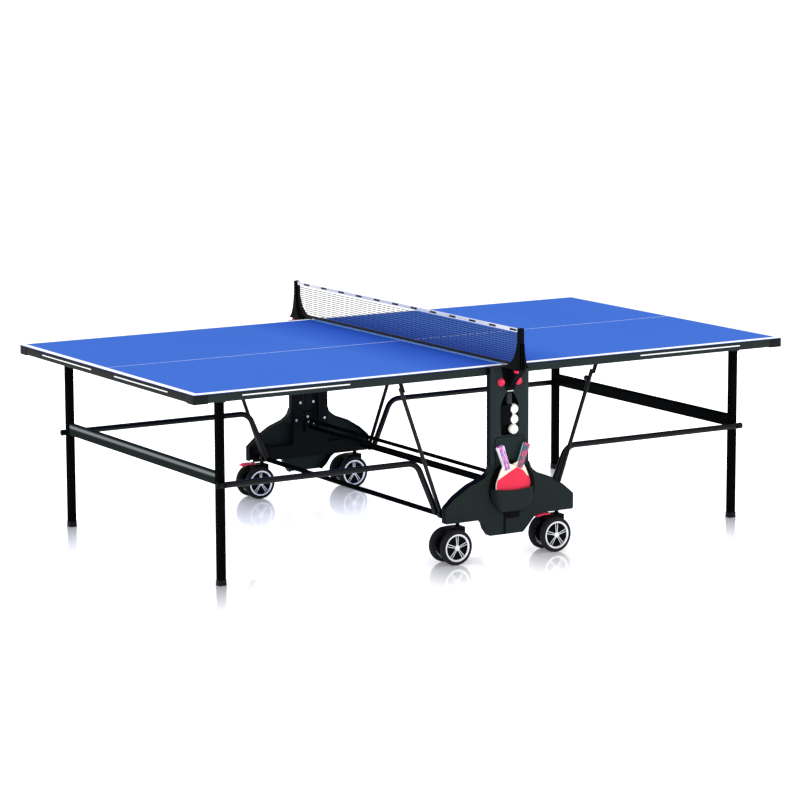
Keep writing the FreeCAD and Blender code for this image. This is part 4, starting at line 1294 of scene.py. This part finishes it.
def woven(name, dark, light, dash=None):
    """Tape woven from flat yarns; dash paints the marks along it."""
    finish = Finish(name, specular_ior_level=0.3)
    x, y, z = finish.place()[1]
    warp = (y * 5200).maths("SINE", y * 5200)
    weft = (z * 5200).maths("SINE", z * 5200)
    weave = warp * weft
    cloth = finish.blend(finish.noise(90, 3), dark, light)
    if dash is not None:
        period, share, start, low_z, high_z = dash
        marks = (((y - start) / period).fraction() < share) * (z > low_z) * (z < high_z)
        cloth = finish.blend(marks, cloth, shade(20, 20, 24))
    finish.set("Base Color", cloth)
    finish.set("Roughness", 0.66 + weave * 0.1)
    return finish.bumps(weave, 0.25, 0.0003).material


band_low, band_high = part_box("net_bands")
TAPE_TOP = band_high.z
TAPE_LOW = TAPE_TOP - 0.015
fold = [(0.0019 * cos(pi * k / 8), TAPE_TOP - 0.0021 + 0.0020 * sin(pi * k / 8)) for k in range(9)]
outer = [(0.0019, TAPE_LOW), *fold, (-0.0019, TAPE_LOW)]
inner_fold = [(-0.0011, TAPE_LOW), (-0.0011, TAPE_TOP - 0.0022), (0, TAPE_TOP - 0.0012),
              (0.0011, TAPE_TOP - 0.0022), (0.0011, TAPE_LOW)]
TAPE_CLOTH = woven("net_tape_cloth", shade(214, 216, 226), shade(240, 240, 246),
                   (0.1465, 0.33, 0.03, TAPE_TOP - 0.0115, TAPE_TOP - 0.0035))
mesh = bmesh.new()
prism(mesh, outer + inner_fold, -HALF_NET + 0.0002, HALF_NET - 0.0002, "Y")
net_tape = finished("net_tape", mesh, "carriage", TAPE_CLOTH, ["net_bands"], 40)

BAND_CLOTH = woven("net_band_cloth", shade(18, 18, 22), shade(34, 34, 40))
mesh = bmesh.new()
slab(mesh, (-0.0019, -HALF_NET + 0.0002, band_low.z), (0.0019, HALF_NET - 0.0002, band_low.z + 0.012),
     0.0006)
net_band = finished("net_lower_band", mesh, "carriage", BAND_CLOTH, (), 40)

mesh = bmesh.new()
cord_z = TAPE_TOP - 0.0035
tube(mesh, [(0, -HALF_NET + 0.0005, cord_z), (0, HALF_NET - 0.0005, cord_z)], 0.0009, 8)
top_cord = finished("net_top_cord", mesh, "carriage", ZINC, ())

# %% [markdown]
# ## The posts' spreading feet
# Each net post stands on a foot that spreads like a skirt, in two halves with a slot for the net between
# them. No single outline gives a shape that narrows in two directions. A stack of rectangles, each smaller
# than the one below, is joined into a skin instead.

# %% Skirts
SKIRT = ((0.757, 0.036, 0.8005), (0.765, 0.029, 0.815), (0.776, 0.0235, 0.838), (0.800, 0.0180, 0.855),
         (0.826, 0.0145, 0.863), (0.856, 0.0122, 0.868))


def skirt_half(mesh, side, row):
    """Half of a post's spreading foot, on one side of the net."""
    rings = []
    for z, half, inner in SKIRT:
        corners = ((side * 0.0023, row * inner), (side * half, row * inner), (side * half, row * 0.8845),
                   (side * 0.0023, row * 0.8845))
        rings.append([mesh.verts.new((x, y, z)) for x, y in corners])
    faces = [mesh.faces.new((a[k], a[(k + 1) % 4], b[(k + 1) % 4], b[k]))
             for a, b in zip(rings, rings[1:]) for k in range(4)]
    faces += [mesh.faces.new(rings[0]), mesh.faces.new(rings[-1])]
    corners = [edge for edge in {edge for face in faces for edge in face.edges}
               if edge.calc_face_angle(0) > radians(60)]
    soften(mesh, corners, 0.0012)


# %% [markdown]
# ## Posts and clamps
# The post is a moulded clamp with an arm below the table edge, a flare against the apron, the skirt and the
# upright with its cap. They overlap in one mesh, as the ribs of a moulding do. The arm is a straight prism
# first, and then its points are drawn in towards its foot, which is simpler than drawing a taper.

# %% Posts and clamps
POST_PLACE = 0.876
POST_FOOT = 0.757

for row_name, row in ROWS:
    low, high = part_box(f"{row_name}_net_post")
    face = row * min(abs(low.y), abs(high.y))
    mesh = bmesh.new()
    arm = rounded([(face, POST_FOOT, 0.002), (row * 0.866, 0.7585, 0.004), (row * 0.8835, 0.7585, 0.003),
                   (row * 0.8835, 0.748, 0.01), (row * 0.8125, 0.677, 0.006), (face, 0.677, 0.001)], 6)
    prism(mesh, arm, -0.0195, 0.0195, "X", bevel=0.003, segments=3)
    for vert in mesh.verts:
        share = min(1.0, max(0.0, (vert.co.z - 0.676) / 0.078))
        vert.co.x *= 0.42 + 0.58 * share ** 0.7
    flare = [(0.040, 0.758, 0.003), (0.031, 0.720, 0.02), (0.0262, 0.697, 0.02), (0.018, 0.665, 0.004)]
    flare += [(-u, v, radius) for u, v, radius in reversed(flare)]
    prism(mesh, rounded(flare, 6), *sorted((face, face + row * 0.0085)), "Y", bevel=0.003, segments=3)
    for side in (-1, 1):
        skirt_half(mesh, side, row)
    upright_y = row * POST_PLACE
    prism(mesh, box_outline(-0.012, 0.012, upright_y - 0.0085, upright_y + 0.0085, 0.003),
          POST_FOOT, 0.9145, "Z", bevel=0.0015)
    turned(mesh, [(0, 0), (0.0075, 0), (0.0083, 0.0012), (0.0083, 0.0034), (0.0062, 0.0048), (0, 0.0052)],
           (0, upright_y, 0.9115), "Z", 24)
    # red tab of the tension lock, folded round the clamp's corner
    low_y, high_y = span(row, 0.862, 0.8865)
    slab(mesh, (-0.0225, low_y, 0.7410), (-0.0150, high_y, 0.7505), 0.0012, paint=1)
    finished(f"{row_name}_net_clamp", mesh, "carriage", [DEEP_BLACK, SIGNAL_RED], [f"{row_name}_net_post"])

# %% [markdown]
# ## Inside the columns
# Each column hides a sprung latch that hooks the folded half. Its wire hook and the bolts through the side
# plate are bare zinc, and the far ones show between the legs. The hook is bent wire, so it is swept along a
# few points; the bolts come from the same helper as the pivots, only flatter.

# %% Latches and plate bolts
PLATE_BOLTS = ((-0.0500, 0.397), (0.0140, 0.397), (-0.0140, 0.333), (-0.070, 0.322), (0.070, 0.321))
mesh = bmesh.new()
for row in (-1, 1):
    face = row * min(abs(corner.y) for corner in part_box("near_side_frame"))
    for x, z in PLATE_BOLTS:
        bolt(mesh, (x, face, z), "Y", -row, 0.0038, 0.0054, 0.0032)
    # the hook stays between the two folded halves
    hook = [(-0.0140, 0.3070), (-0.0125, 0.3130), (-0.0085, 0.3165), (-0.0040, 0.3165), (0.0020, 0.3125),
            (0.0080, 0.3060), (0.0138, 0.2990)]
    tube(mesh, [(x, face - row * 0.0040, z) for x, z in hook], 0.0022, 12)
finished("latch_wires", mesh, "carriage", ZINC, ())

# %% [markdown]
# ## Floor
# The floor is a large pale sheet, and the wheels and feet stand in short reflections of themselves. A shiny
# floor would mirror the whole table. So only a patch in front of each wheel and foot is polished, and each
# patch fades with distance.

# %% Floor
floor_mesh = bmesh.new()
bmesh.ops.create_grid(floor_mesh, x_segments=1, y_segments=1, size=60)
floor_data = bpy.data.meshes.new("studio_floor")
floor_mesh.to_mesh(floor_data)
floor_mesh.free()
floor = bpy.data.objects.new("studio_floor", floor_data)
bpy.context.scene.collection.objects.link(floor)
POLISH_REACH = 0.80
POLISH_SPREAD = 0.045
TOWARDS = Vector((CAMERA_PLACE.x, CAMERA_PLACE.y)).normalized()
leg_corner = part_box("legs_right")[1]
FEET = [(side * leg_corner.x, row * leg_corner.y) for _, side in SIDES for _, row in ROWS]
for row_name, row in ROWS:
    for side_name, side in SIDES:
        low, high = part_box(f"{row_name}_wheels_{side_name}")
        FEET.append(((low.x + high.x) / 2, (low.y + high.y) / 2))


def floor_paint():
    """A white floor, polished only in front of each wheel and foot, so reflections fade out quickly."""
    finish = Finish("studio_floor", roughness=0.10, emission_strength=0.85)
    x, y, z = finish.place()[1]
    polish = 0
    for foot_x, foot_y in FEET:
        ahead = (x - foot_x) * TOWARDS.x + (y - foot_y) * TOWARDS.y
        aside = (x - foot_x) * TOWARDS.y - (y - foot_y) * TOWARDS.x
        fade = (1 - ahead / POLISH_REACH).smaller(1)
        patch = fade * (1 - aside * aside / POLISH_SPREAD).larger(0) * (ahead > -0.12)
        polish = patch.larger(polish)
    finish.set("Metallic", polish * 0.66)
    finish.set("Emission Color", finish.blend(polish, (1, 1, 1), (0.2, 0.2, 0.2)))
    finish.set("Base Color", finish.blend(finish.noise(2), shade(248, 248, 249), shade(253, 253, 254)))
    return finish.material


floor.data.materials.append(floor_paint())
print("polished patches on the floor:", len(FEET))
